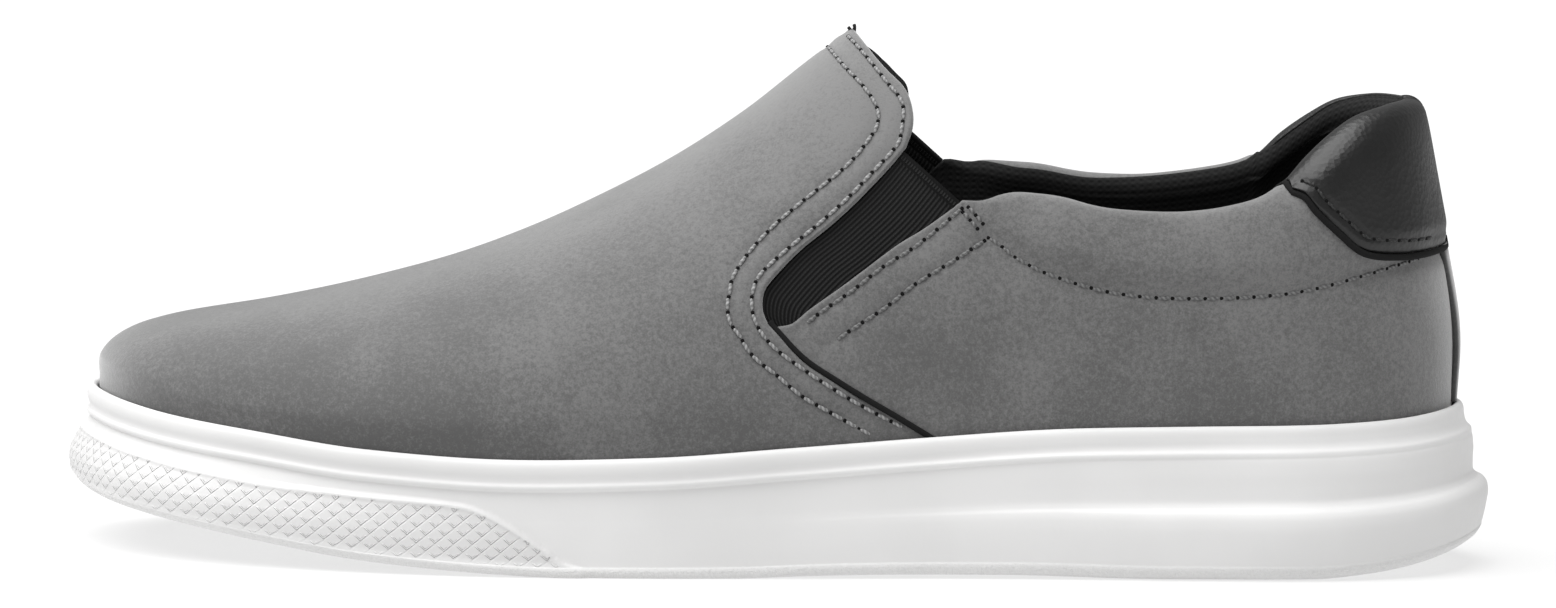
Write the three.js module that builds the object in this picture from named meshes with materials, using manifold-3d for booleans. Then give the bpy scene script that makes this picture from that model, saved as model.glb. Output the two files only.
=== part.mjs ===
// Laceless casual sneaker, left foot: a smooth upper with elastic gores on a white rubber cupsole.
// Millimetres, +Z up, toe towards -X, outer side of the foot towards -Y, standing on Z = 0.
import * as THREE from "three";
import { mergeVertices } from "three/addons/utils/BufferGeometryUtils.js";
import Module from "manifold-3d";

const wasm = await Module();
wasm.setup();

// Driving sizes of the last
const footLength = 286; // toe to heel of the upper, where it meets the lip of the sole
const ballWidth = 99; // scale of every width of the upper
const instepHeight = 112; // top of the throat above the floor
const heelHeight = 100; // top of the heel above the floor
const heelSwell = 0.8; // how far the heel bulges behind the lip line
const heelLean = 4.4; // how far the top of the heel leans towards the toe

// Driving sizes of the upper
const upperWall = 1.8; // leather and its backing
const panelStep = 0.9; // the front panel lies on the quarters
const collarPad = 4.2; // foam behind the collar
const collarPuff = 0.9; // how far the padded collar stands out
const medialRise = 3; // the inner side of the collar is cut higher
const goreThickness = 1.2;
const goreLap = 4.5; // elastic hidden under the leather at its edges
const tabThickness = 1.3;
const stripThickness = 0.9;
const stripHalfTop = 9; // half widths of the strip on the back seam
const stripHalfFoot = 6;

// Driving sizes of the sole
const lipHeight = 31; // lip of the sole above the floor under the heel
const cupDepth = 11; // from the lip down to the floor of the cup
const bandWidth = 2.5; // the rolled lip stands out this far
const bandHeight = 5.6; // roll, groove and ridge of the lip together
const toeBumper = 3.4; // extra bulge of the toe guard
const heelRib = 5.4; // extra bulge of the rib round the heel
const toeSpring = 12;
const archLift = 0.7;
const heelLift = 7;
const grooveWidth = 2.4;
const grooveDepth = 1.6;
const groovePitch = 13;
const treadMargin = 7; // plain rim round the tread
const insoleThickness = 4;

// Two pieces that touch keep this gap
const clearance = 0.3;
// Slivers that the cuts leave are closed up to this size
const sliver = 0.02;

// Resolution of the surfaces
const stationSteps = 40;
const ribSteps = 10;

// Sections of the last from toe to heel.
// at: place along the foot; lateral, medial: width either side of the centre line, in ball widths;
// lip: height of the lip; crown: where the section ends on the centre line; round: fullness.
const sections = [
  { at: 0, lateral: 0, medial: 0, lip: 1.016, crown: 0.1, round: 3.2 },
  { at: 0.0077, lateral: 0.136, medial: 0.126, lip: 1.006, crown: 0.104, round: 3.1 },
  { at: 0.028, lateral: 0.266, medial: 0.224, lip: 0.974, crown: 0.112, round: 2.9 },
  { at: 0.061, lateral: 0.364, medial: 0.298, lip: 0.923, crown: 0.126, round: 2.7 },
  { at: 0.115, lateral: 0.455, medial: 0.364, lip: 0.865, crown: 0.152, round: 2.5 },
  { at: 0.2, lateral: 0.528, medial: 0.421, lip: 0.777, crown: 0.21, round: 2.35 },
  { at: 0.3, lateral: 0.561, medial: 0.444, lip: 0.739, crown: 0.3, round: 2.2 },
  { at: 0.4, lateral: 0.561, medial: 0.409, lip: 0.765, crown: 0.4, round: 2.05 },
  { at: 0.5, lateral: 0.525, medial: 0.338, lip: 0.832, crown: 0.5, round: 1.95 },
  { at: 0.6, lateral: 0.475, medial: 0.288, lip: 0.903, crown: 0.6, round: 1.95 },
  { at: 0.7, lateral: 0.419, medial: 0.293, lip: 0.965, crown: 0.695, round: 2.3 },
  { at: 0.79, lateral: 0.39, medial: 0.31, lip: 0.987, crown: 0.775, round: 2.6 },
  { at: 0.874, lateral: 0.356, medial: 0.313, lip: 1, crown: 0.83, round: 2.9 },
  { at: 0.936, lateral: 0.288, medial: 0.273, lip: 1.026, crown: 0.862, round: 3 },
  { at: 0.975, lateral: 0.177, medial: 0.172, lip: 1.061, crown: 0.88, round: 3 },
  { at: 0.994, lateral: 0, medial: 0, lip: 1.077, crown: 0.887, round: 3 },
];

// Centre line of the foot seen from above; aside is towards the inner side, in ball widths
const centreLine = [
  { at: 0, aside: 0.086 },
  { at: 0.108, aside: 0.076 },
  { at: 0.3, aside: 0.05 },
  { at: 0.5, aside: 0.055 },
  { at: 0.6, aside: 0.05 },
  { at: 0.7, aside: 0.025 },
  { at: 0.79, aside: 0.013 },
  { at: 1, aside: 0.005 },
];

// Height of the centre line of the last, in shares of the instep height and of the heel height.
// Behind the throat it is the closed last, which the mouth of the shoe cuts away.
const crownLine = [
  { at: 0, instep: 0.394, heel: 0 },
  { at: 0.108, instep: 0.434, heel: 0 },
  { at: 0.159, instep: 0.461, heel: 0 },
  { at: 0.21, instep: 0.4945, heel: 0 },
  { at: 0.262, instep: 0.535, heel: 0 },
  { at: 0.315, instep: 0.5885, heel: 0 },
  { at: 0.365, instep: 0.65, heel: 0 },
  { at: 0.416, instep: 0.7215, heel: 0 },
  { at: 0.4685, instep: 0.812, heel: 0 },
  { at: 0.52, instep: 0.919, heel: 0 },
  { at: 0.5545, instep: 0.984, heel: 0 },
  { at: 0.605, instep: 1.02, heel: 0.04 },
  { at: 0.657, instep: 0.8, heel: 0.32 },
  { at: 0.71, instep: 0.4, heel: 0.775 },
  { at: 0.8, instep: 0, heel: 1.21 },
  { at: 0.89, instep: 0, heel: 1.195 },
  { at: 1, instep: 0, heel: 1.175 },
];

// Underside of the sole, in shares of the toe spring, the arch lift and the heel lift
const groundLine = [
  { at: -0.03, toe: 1.25, arch: 0, heel: 0 },
  { at: 0, toe: 0.93, arch: 0, heel: 0 },
  { at: 0.045, toe: 0.72, arch: 0, heel: 0 },
  { at: 0.09, toe: 0.55, arch: 0, heel: 0 },
  { at: 0.14, toe: 0.37, arch: 0, heel: 0 },
  { at: 0.19, toe: 0.21, arch: 0, heel: 0 },
  { at: 0.24, toe: 0.11, arch: 0, heel: 0 },
  { at: 0.29, toe: 0.04, arch: 0, heel: 0 },
  { at: 0.34, toe: 0, arch: 0, heel: 0 },
  { at: 0.46, toe: 0, arch: 0, heel: 0 },
  { at: 0.52, toe: 0, arch: 0.7, heel: 0 },
  { at: 0.58, toe: 0, arch: 1, heel: 0 },
  { at: 0.66, toe: 0, arch: 0.9, heel: 0 },
  { at: 0.76, toe: 0, arch: 0, heel: 0 },
  { at: 0.88, toe: 0, arch: 0, heel: 0 },
  { at: 0.92, toe: 0, arch: 0, heel: 0.12 },
  { at: 0.95, toe: 0, arch: 0, heel: 0.28 },
  { at: 0.98, toe: 0, arch: 0, heel: 0.52 },
  { at: 1, toe: 0, arch: 0, heel: 0.72 },
  { at: 1.03, toe: 0, arch: 0, heel: 1 },
];

// Side of the sole from the inside of the lip down to the underside.
// out: in band widths; drop: in band heights below the lip;
// fall: share of the wall between the band and the underside; toe, heel: shares of the two bulges.
const soleProfile = [
  { out: 0.5, drop: -0.14, fall: 0, toe: 0, heel: 0 },
  { out: 0.92, drop: 0.04, fall: 0, toe: 0, heel: 0 },
  { out: 1, drop: 0.25, fall: 0, toe: 0, heel: 0 },
  { out: 0.84, drop: 0.55, fall: 0, toe: 0, heel: 0.15 },
  { out: 1, drop: 0.82, fall: 0, toe: 0, heel: 0.3 },
  { out: 0.72, drop: 1, fall: 0, toe: 0.06, heel: 0.5 },
  { out: 0.74, drop: 1, fall: 0.14, toe: 0.31, heel: 0.55 },
  { out: 0.8, drop: 1, fall: 0.33, toe: 0.64, heel: 0.5 },
  { out: 0.84, drop: 1, fall: 0.43, toe: 0.78, heel: 0.95 },
  { out: 0.9, drop: 1, fall: 0.56, toe: 0.93, heel: 1.05 },
  { out: 1, drop: 1, fall: 0.86, toe: 0.84, heel: 0.84 },
  { out: 0.92, drop: 1, fall: 0.95, toe: 0.42, heel: 0.6 },
  { out: 0.5, drop: 1, fall: 1, toe: 0, heel: 0.1 },
];

// Lines seen from the side; at: along the foot, up: in instep heights or heel heights.
// The scooped rear edge of the flap over the instep, in instep heights
const throatEdge = [
  { at: 0.5385, up: 1 },
  { at: 0.55, up: 0.965 },
  { at: 0.567, up: 0.915 },
  { at: 0.58, up: 0.88 },
  { at: 0.585, up: 0.85 },
  { at: 0.5853, up: 0.8125 },
  { at: 0.58, up: 0.773 },
];

// From the corner of the flap down its side to the front end of the gore, in instep heights
const flapSide = [
  { at: 0.58, up: 0.773 },
  { at: 0.565, up: 0.73 },
  { at: 0.5476, up: 0.684 },
  { at: 0.526, up: 0.634 },
  { at: 0.505, up: 0.591 },
  { at: 0.485, up: 0.5375 },
  { at: 0.479, up: 0.514 },
  { at: 0.478, up: 0.485 },
  { at: 0.4815, up: 0.46 },
];

// From there the front panel's edge runs back over the quarter down into the sole
const panelSeam = [
  { at: 0.4815, up: 0.46 },
  { at: 0.49, up: 0.4375 },
  { at: 0.5003, up: 0.41 },
  { at: 0.511, up: 0.387 },
  { at: 0.524, up: 0.366 },
  { at: 0.55, up: 0.326 },
  { at: 0.5755, up: 0.289 },
  { at: 0.6014, up: 0.25 },
  { at: 0.635, up: 0.2 },
  { at: 0.7, up: 0.1 },
];

// The quarter's edge along the gore, from its front end up to the collar, in instep heights
const quarterEdge = [
  { at: 0.4875, up: 0.4545 },
  { at: 0.5003, up: 0.4616 },
  { at: 0.5133, up: 0.488 },
  { at: 0.537, up: 0.531 },
  { at: 0.5734, up: 0.6 },
  { at: 0.5927, up: 0.63 },
  { at: 0.612, up: 0.665 },
  { at: 0.6206, up: 0.684 },
];

// Top of the collar on the outer side, in heel heights
const collarEdge = [
  { at: 0.6206, up: 0.766 },
  { at: 0.636, up: 0.768 },
  { at: 0.651, up: 0.783 },
  { at: 0.666, up: 0.787 },
  { at: 0.693, up: 0.778 },
  { at: 0.716, up: 0.761 },
  { at: 0.735, up: 0.753 },
  { at: 0.769, up: 0.749 },
  { at: 0.795, up: 0.753 },
  { at: 0.817, up: 0.764 },
  { at: 0.836, up: 0.78 },
  { at: 0.85, up: 0.805 },
  { at: 0.865, up: 0.848 },
  { at: 0.883, up: 0.898 },
  { at: 0.9, up: 0.934 },
  { at: 0.915, up: 0.954 },
  { at: 0.934, up: 0.963 },
  { at: 0.96, up: 0.971 },
  { at: 1.05, up: 0.98 },
];

// Lower edge of the heel tab, in heel heights
const tabEdge = [
  { at: 0.848, up: 0.83 },
  { at: 0.855, up: 0.806 },
  { at: 0.8664, up: 0.786 },
  { at: 0.8748, up: 0.753 },
  { at: 0.8916, up: 0.71 },
  { at: 0.906, up: 0.676 },
  { at: 0.919, up: 0.665 },
  { at: 0.938, up: 0.663 },
  { at: 0.957, up: 0.665 },
  { at: 1.05, up: 0.685 },
];

// Smooth value of a column at a place along the foot, without overshoot
function along(rows, column, at) {
  const last = rows.length - 2;
  let i = 0;
  while (i < last && at > rows[i + 1].at) i += 1;
  const slope = (k) => {
    if (k < 0 || k > last) return 0;
    return (rows[k + 1][column] - rows[k][column]) / (rows[k + 1].at - rows[k].at);
  };
  const tangent = (k) => {
    const before = slope(k - 1);
    const after = slope(k);
    if (k === 0) return after;
    if (k === last + 1) return before;
    return before * after > 0 ? (2 * before * after) / (before + after) : 0;
  };
  const span = rows[i + 1].at - rows[i].at;
  const u = THREE.MathUtils.clamp((at - rows[i].at) / span, 0, 1);
  const rise = rows[i + 1][column] - rows[i][column];
  const start = tangent(i) * span;
  const end = tangent(i + 1) * span;
  return rows[i][column] + u * (start + u * (3 * rise - 2 * start - end + u * (start + end - 2 * rise)));
}

// Smooth value of a column of the sections at a share s of the way round one side.
// Past the toe and the heel the table goes on as its mirror image, so the plan closes roundly.
function around(column, s, mirror) {
  const last = sections.length - 1;
  const value = (k) => {
    if (k < 0) return mirror * sections[-k][column];
    if (k > last) return mirror * sections[2 * last - k][column];
    return sections[k][column];
  };
  const i = Math.min(Math.floor(s * last), last - 1);
  const u = s * last - i;
  const [a, b, c, d] = [value(i - 1), value(i), value(i + 1), value(i + 2)];
  return b + 0.5 * u * (c - a + u * (2 * a - 5 * b + 4 * c - d + u * (3 * (b - c) + d - a)));
}

const alongX = (at) => (at - 0.5) * footLength;
const placeOf = (x) => x / footLength + 0.5;
const centreAt = (at) => along(centreLine, "aside", at) * ballWidth;
const lipAt = (at) => along(sections, "lip", at) * lipHeight;
const soleFloorAt = (at) => lipAt(at) - cupDepth;

function crownAt(at) {
  return along(crownLine, "instep", at) * instepHeight + along(crownLine, "heel", at) * heelHeight;
}

function groundAt(at) {
  const toe = along(groundLine, "toe", at) * toeSpring;
  const arch = along(groundLine, "arch", at) * archLift;
  return toe + arch + along(groundLine, "heel", at) * heelLift;
}

// Outline of the upper at the lip, grown by a distance; side is -1 outside and +1 inside
function planPoint(s, side, grow) {
  const width = (k) => side * around(side < 0 ? "lateral" : "medial", k, -1) * ballWidth;
  const point = (k) => {
    const at = around("at", k, 1);
    return new THREE.Vector2(alongX(at), centreAt(at) + width(k));
  };
  const nudge = 0.002;
  const ahead = point(Math.min(s + nudge, 1)).sub(point(Math.max(s - nudge, 0)));
  if (s === 0 || s === 1) ahead.set(0, side * (s === 0 ? 1 : -1));
  const outward = new THREE.Vector2(-ahead.y * side, ahead.x * side).normalize();
  return point(s).addScaledVector(outward, grow);
}

// How far the leather swells beyond the plain last, at a point of the last
function swellAt(point) {
  const behind = THREE.MathUtils.smoothstep(placeOf(point.x), 0.86, 0.98);
  const bulge = heelSwell * behind * Math.exp(-(((point.z / heelHeight - 0.49) / 0.13) ** 2));
  const collar = THREE.MathUtils.smoothstep(placeOf(point.x), 0.62, 0.7);
  const above = THREE.MathUtils.smoothstep(point.z / heelHeight, 0.57, 0.68);
  return bulge + collarPuff * collar * above;
}

// How thick the padding is behind the leather at a point of the last
function padAt(point) {
  const collar = THREE.MathUtils.smoothstep(placeOf(point.x), 0.62, 0.74);
  return collarPad * collar * THREE.MathUtils.smoothstep(point.z / heelHeight, 0.5, 0.68);
}

// How far the back of the heel leans towards the toe at a place and height
function leanAt(x, z) {
  const behind = THREE.MathUtils.smoothstep(placeOf(x), 0.82, 0.97);
  return heelLean * behind * THREE.MathUtils.smoothstep(z / heelHeight, 0.42, 0.92);
}

// A point of the last: s runs round one side from toe to heel, t from the lip up to the centre
// line on a superellipse, and both of its axes are grown by the same distance
function lastPoint(s, t, side, grow) {
  const foot = planPoint(s, side, grow);
  const crown = around("crown", s, 1);
  const round = around("round", s, 1);
  const inward = Math.cos((t * Math.PI) / 2) ** (2 / round);
  const upward = Math.sin((t * Math.PI) / 2) ** (2 / round);
  const x = THREE.MathUtils.lerp(alongX(crown), foot.x, t === 1 ? 0 : inward);
  const y = THREE.MathUtils.lerp(centreAt(crown), foot.y, t === 1 ? 0 : inward);
  const lip = lipAt(around("at", s, 1));
  const z = lip + (crownAt(placeOf(x)) + grow - lip) * upward;
  return new THREE.Vector3(x - leanAt(x, z), y, z);
}

// The last with the leather's swelling and padding; outside is measured from the leather's face
const outerFace = (s, t, side, outside) => {
  const plain = lastPoint(s, t, side, 0);
  return lastPoint(s, t, side, outside + swellAt(plain) * Math.min(1, 6 * t));
};
const innerFace = (s, t, side, inside) => {
  return lastPoint(s, t, side, -upperWall - padAt(lastPoint(s, t, side, 0)) - inside);
};
// The front panel's face comes up out of the sole and then stands a step proud
const panelFace = (s, t, side) => {
  return outerFace(s, t, side, panelStep * THREE.MathUtils.smoothstep(t, 0.02, 0.12));
};

// Closed body from rings of points: row(s, side) lists the points from one spine to the other
function ringBody(row) {
  const positions = [];
  for (const side of [-1, 1]) {
    const rows = [];
    for (let i = 0; i <= stationSteps; i += 1) rows.push(row(i / stationSteps, side));
    for (let i = 0; i < stationSteps; i += 1) {
      for (let j = 0; j + 1 < rows[i].length; j += 1) {
        const [a, b] = [rows[i][j], rows[i + 1][j]];
        const [c, d] = [rows[i + 1][j + 1], rows[i][j + 1]];
        const corners = side < 0 ? [a, b, c, a, c, d] : [a, c, b, a, d, c];
        for (const corner of corners) positions.push(corner.x, corner.y, corner.z);
      }
    }
  }
  const geometry = new THREE.BufferGeometry();
  geometry.setAttribute("position", new THREE.Float32BufferAttribute(positions, 3));
  return solidFrom(geometry);
}

function solidFrom(geometry) {
  const bare = geometry.index ? geometry.toNonIndexed() : geometry.clone();
  bare.deleteAttribute("normal");
  bare.deleteAttribute("uv");
  const merged = mergeVertices(bare, 1e-4);
  const index = merged.index.array;
  const whole = [];
  for (let i = 0; i < index.length; i += 3) {
    const [a, b, c] = [index[i], index[i + 1], index[i + 2]];
    if (a !== b && b !== c && c !== a) whole.push(a, b, c);
  }
  const vertProperties = new Float32Array(merged.attributes.position.array);
  return new wasm.Manifold(new wasm.Mesh({ numProp: 3, vertProperties, triVerts: new Uint32Array(whole) }));
}

// A point on the centre line at a height
const spinePoint = (s, height) => {
  const at = around("crown", s, 1);
  return new THREE.Vector3(alongX(at), centreAt(at), height(at));
};

// The closed body of the last inside a face, with a skirt that goes down into the sole
function lastBody(face, amount, skirt) {
  return ringBody((s, side) => {
    const foot = face(s, 0, side, amount);
    const points = [spinePoint(s, (at) => lipAt(at) - skirt)];
    points.push(new THREE.Vector3(foot.x, foot.y, lipAt(around("at", s, 1)) - skirt));
    for (let j = 0; j <= ribSteps; j += 1) points.push(face(s, j / ribSteps, side, amount));
    return points;
  });
}

// A plate with the plan of the last, grown by a distance, between two heights
function plateBody(grow, lowAt, highAt) {
  return ringBody((s, side) => {
    const at = around("at", s, 1);
    const edge = planPoint(s, side, grow);
    return [
      spinePoint(s, lowAt),
      new THREE.Vector3(edge.x, edge.y, lowAt(at)),
      new THREE.Vector3(edge.x, edge.y, highAt(at)),
      spinePoint(s, highAt),
    ];
  });
}

// A side view outline as points, smooth through its rows
function sideLine(rows, height, perRow = 2) {
  const curve = new THREE.SplineCurve(rows.map((r) => new THREE.Vector2(alongX(r.at), r.up * height)));
  return curve.getPoints((rows.length - 1) * perRow);
}

// An outline seen from the side cut right through the shoe
function sidePrism(points) {
  const reach = 2 * ballWidth;
  const geometry = new THREE.ExtrudeGeometry(new THREE.Shape(points), { depth: reach, bevelEnabled: false });
  geometry.rotateX(Math.PI / 2);
  geometry.translate(0, reach / 2, 0);
  return solidFrom(geometry);
}

// The outline moved outwards by a distance
function grown(points, distance) {
  const sign = THREE.ShapeUtils.area(points) > 0 ? 1 : -1;
  return points.map((point, k) => {
    const before = points[(k + points.length - 1) % points.length];
    const after = points[(k + 1) % points.length];
    const ahead = after.clone().sub(before).normalize();
    return point.clone().add(new THREE.Vector2(ahead.y, -ahead.x).multiplyScalar(sign * distance));
  });
}

const farAbove = 2 * (instepHeight + heelHeight);
const corner = (x, z) => new THREE.Vector2(x, z);

// Mouth of the shoe: the throat's cut, and the collar's cut, which rises to the inner side
function throatCut() {
  const edge = sideLine(throatEdge, instepHeight);
  const end = edge[edge.length - 1];
  const start = corner(edge[0].x - panelStep, edge[0].y + panelStep);
  const behind = alongX(0.62);
  const level = end.y;
  return sidePrism([corner(start.x, farAbove), start, ...edge, corner(behind, level), corner(behind, farAbove)]);
}

function collarCut(lower) {
  const flapEnd = corner(alongX(throatEdge[5].at), throatEdge[6].up * instepHeight);
  const edge = sideLine(collarEdge, heelHeight);
  const top = [flapEnd, ...edge].map((p) => corner(p.x, p.y - lower));
  const outline = [corner(flapEnd.x, farAbove), ...top, corner(edge[edge.length - 1].x, farAbove)];
  const reach = 2 * ballWidth;
  const geometry = new THREE.ExtrudeGeometry(new THREE.Shape(outline), { depth: reach, bevelEnabled: false });
  geometry.rotateX(Math.PI / 2);
  geometry.translate(0, reach / 2, 0);
  const outerSide = -sections[11].lateral * ballWidth;
  const lean = medialRise / ((sections[11].lateral + sections[11].medial) * ballWidth);
  const rise = new THREE.Matrix4().makeShear(0, 0, 0, 0, 0, 0);
  rise.elements[6] = lean;
  geometry.applyMatrix4(rise);
  geometry.translate(0, 0, -lean * outerSide);
  return solidFrom(geometry);
}

// Outline of the opening that the gore fills, from the flap's corner round its front end
function goreOutline() {
  const flap = sideLine(flapSide, instepHeight);
  const quarter = sideLine(quarterEdge, instepHeight);
  const top = quarter[quarter.length - 1];
  const over = flap[0].y + clearance;
  return [...flap, ...quarter, corner(top.x, over), corner(flap[0].x, over)];
}

function tabOutline() {
  const edge = sideLine(tabEdge, heelHeight);
  return [corner(edge[0].x, farAbove), ...edge, corner(edge[edge.length - 1].x, farAbove)];
}

// Region of the front panel, from beyond the toe back to its seams
function panelOutline() {
  const seam = sideLine(panelSeam, instepHeight);
  const flap = sideLine(flapSide, instepHeight).slice(0, -1);
  const throat = sideLine(throatEdge, instepHeight).slice(0, -1);
  const ahead = -footLength;
  const end = seam[seam.length - 1];
  return [corner(ahead, farAbove), corner(throat[0].x, farAbove), ...throat, ...flap, ...seam,
    corner(end.x, -lipHeight), corner(ahead, -lipHeight)];
}

const mouth = throatCut().add(collarCut(0));
const tabRegion = sidePrism(tabOutline());
const tabRoom = sidePrism(grown(tabOutline(), clearance));
const deep = cupDepth + lipHeight;

// The upper: one hollow body, with the front panel a step proud of the quarters
function upperSolid() {
  const skirt = cupDepth - clearance;
  const quarters = lastBody(outerFace, 0, skirt);
  const panel = lastBody(panelFace, 0, skirt).intersect(sidePrism(panelOutline()));
  const hollow = lastBody(innerFace, 0, deep);
  const capRoom = collarCut(tabThickness + clearance).intersect(tabRoom);
  return quarters.add(panel).subtract(hollow).subtract(mouth)
    .subtract(sidePrism(goreOutline())).subtract(capRoom);
}

// Elastic gore behind the opening on one side
function goreSolid(side) {
  const outer = lastBody(innerFace, clearance, deep);
  const inner = lastBody(innerFace, clearance + goreThickness, deep + clearance);
  const region = sidePrism(grown(goreOutline(), goreLap));
  const half = new THREE.BoxGeometry(2 * footLength, ballWidth, 2 * farAbove);
  half.translate(0, centreAt(0.5) + (side * ballWidth) / 2, 0);
  return outer.subtract(inner).intersect(region).subtract(mouth).intersect(solidFrom(half));
}

// Heel tab: wraps over the top of the heel, outside and inside
function tabSolid() {
  const outside = lastBody(outerFace, clearance + tabThickness, deep);
  const inside = lastBody(innerFace, clearance + tabThickness, deep + clearance);
  const leather = lastBody(outerFace, clearance, deep);
  const lining = lastBody(innerFace, clearance, deep + clearance);
  const filled = leather.subtract(lining).subtract(collarCut(tabThickness));
  return outside.subtract(inside).intersect(tabRegion).subtract(mouth).subtract(filled);
}

// Strip down the back seam, from the tab to the lip
function stripSolid() {
  const top = tabEdge[tabEdge.length - 1].up * heelHeight;
  const foot = lipAt(1) + clearance - soleProfile[0].drop * bandHeight;
  const shape = new THREE.Shape([corner(-stripHalfFoot, foot), corner(stripHalfFoot, foot),
    corner(stripHalfTop, top), corner(-stripHalfTop, top)]);
  const geometry = new THREE.ExtrudeGeometry(shape, { depth: footLength, bevelEnabled: false });
  geometry.applyMatrix4(new THREE.Matrix4().makeBasis(new THREE.Vector3(0, 1, 0),
    new THREE.Vector3(0, 0, 1), new THREE.Vector3(1, 0, 0)));
  geometry.translate(0, centreAt(1), 0);
  const outside = lastBody(outerFace, clearance + stripThickness, deep);
  const leather = lastBody(outerFace, clearance, deep + clearance);
  return outside.subtract(leather).intersect(solidFrom(geometry)).subtract(tabRoom);
}

// How much of the toe guard's and of the heel rib's bulge shows at a place along the foot
const toeShare = (at) => 1 - THREE.MathUtils.smoothstep(at, 0.05, 0.37);
const heelShare = (at) => THREE.MathUtils.smoothstep(at, 0.43, 0.98);

// Cupsole: the floor of the cup, its inside wall, the lip, the side and the underside
function cupsoleSolid() {
  const body = ringBody((s, side) => {
    const at = around("at", s, 1);
    const lip = lipAt(at);
    const inner = planPoint(s, side, clearance);
    const points = [spinePoint(s, groundAt)];
    for (const row of [...soleProfile].reverse()) {
      const bulge = row.toe * toeBumper * toeShare(at) + row.heel * heelRib * heelShare(at);
      const place = planPoint(s, side, row.out * bandWidth + bulge);
      const ground = groundAt(placeOf(place.x));
      const top = lip - row.drop * bandHeight;
      points.push(new THREE.Vector3(place.x, place.y, THREE.MathUtils.lerp(top, ground, row.fall)));
    }
    points.push(new THREE.Vector3(inner.x, inner.y, lip));
    points.push(new THREE.Vector3(inner.x, inner.y, soleFloorAt(at)));
    points.push(spinePoint(s, soleFloorAt));
    return points;
  });
  return body.subtract(treadGrooves());
}

// Flex grooves across the tread, inside its plain rim
function treadGrooves() {
  const rim = plateBody(-treadMargin, () => -heelLift, soleFloorAt);
  const fields = [{ from: 0.1, to: 0.5 }, { from: 0.68, to: 0.93 }];
  let grooves = null;
  for (const field of fields) {
    const length = (field.to - field.from) * footLength;
    const count = Math.floor(length / groovePitch);
    for (let k = 0; k <= count; k += 1) {
      const x = alongX(field.from) + k * groovePitch;
      const slope = (groundAt(placeOf(x + 1)) - groundAt(placeOf(x - 1))) / 2;
      const box = new THREE.BoxGeometry(grooveWidth, 2 * ballWidth, 2 * grooveDepth);
      box.rotateY(-Math.atan(slope));
      box.translate(x, 0, groundAt(placeOf(x)));
      const groove = solidFrom(box);
      grooves = grooves ? grooves.add(groove) : groove;
    }
  }
  return grooves.intersect(rim);
}

// Insole: lies on the floor of the cup inside the skirt of the upper
function insoleSolid() {
  const low = (at) => soleFloorAt(at) + clearance;
  return plateBody(-upperWall - clearance, low, (at) => low(at) + insoleThickness);
}

function meshOf(name, solid, colour, roughness) {
  const mesh = solid.simplify(sliver).getMesh();
  const geometry = new THREE.BufferGeometry();
  const positions = new Float32Array(mesh.triVerts.length * 3);
  mesh.triVerts.forEach((vertex, k) => {
    for (let axis = 0; axis < 3; axis += 1) {
      positions[3 * k + axis] = mesh.vertProperties[mesh.numProp * vertex + axis];
    }
  });
  geometry.setAttribute("position", new THREE.BufferAttribute(positions, 3));
  geometry.computeVertexNormals();
  const material = new THREE.MeshStandardMaterial({ color: colour, roughness, metalness: 0 });
  const result = new THREE.Mesh(geometry, material);
  result.name = name;
  return result;
}

const shoe = new THREE.Group();
shoe.add(meshOf("upper", upperSolid(), 0x858585, 0.85));
shoe.add(meshOf("gore_lateral", goreSolid(-1), 0x1c1c1c, 0.9));
shoe.add(meshOf("gore_medial", goreSolid(1), 0x1c1c1c, 0.9));
shoe.add(meshOf("heel_tab", tabSolid(), 0x202020, 0.5));
shoe.add(meshOf("back_seam_strip", stripSolid(), 0x6e6e6e, 0.9));
shoe.add(meshOf("insole", insoleSolid(), 0x2a2a2a, 0.9));
shoe.add(meshOf("cupsole", cupsoleSolid(), 0xe6e6e6, 0.6));

// The origin is under the middle of the shoe
const box = new THREE.Box3().setFromObject(shoe);
const middle = box.getCenter(new THREE.Vector3());
shoe.position.set(-middle.x, -middle.y, -box.min.z);
shoe.updateMatrixWorld(true);

export default shoe;
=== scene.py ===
import bpy
import numpy as np
from mathutils import Matrix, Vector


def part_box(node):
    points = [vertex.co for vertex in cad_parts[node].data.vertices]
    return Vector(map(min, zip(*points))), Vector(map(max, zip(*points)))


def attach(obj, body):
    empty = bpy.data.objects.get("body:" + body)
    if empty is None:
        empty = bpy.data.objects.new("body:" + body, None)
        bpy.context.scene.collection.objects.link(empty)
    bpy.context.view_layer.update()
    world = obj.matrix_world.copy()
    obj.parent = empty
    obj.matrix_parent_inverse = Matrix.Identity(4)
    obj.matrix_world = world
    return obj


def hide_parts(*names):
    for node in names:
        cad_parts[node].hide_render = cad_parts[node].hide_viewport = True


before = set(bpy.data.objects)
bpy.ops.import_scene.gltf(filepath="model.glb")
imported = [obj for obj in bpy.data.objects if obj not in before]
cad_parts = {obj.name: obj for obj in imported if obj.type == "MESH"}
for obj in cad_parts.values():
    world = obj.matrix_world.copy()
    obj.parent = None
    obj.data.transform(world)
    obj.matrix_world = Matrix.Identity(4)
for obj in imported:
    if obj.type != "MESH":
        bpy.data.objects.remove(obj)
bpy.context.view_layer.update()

# A laceless casual sneaker for the left foot. Lengths are millimetres in the frame of the last:
# toe towards -x, outer side towards -y, floor at z = 0. A mesh is put into metres as it is made.

millimetre = 0.001

last = {
    "footLength": 286.0,   # toe to heel of the upper at the lip of the sole
    "ballWidth": 99.0,
    "instepHeight": 112.0,
    "heelHeight": 100.0,
    "lipHeight": 31.0,
    "heelSwell": 0.8,      # the heel bulges this far behind the lip line
    "heelLean": 4.4,       # the top of the heel leans this far towards the toe
    "toeSpring": 12.0,
    "archLift": 0.7,
    "heelLift": 7.0,
}


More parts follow.
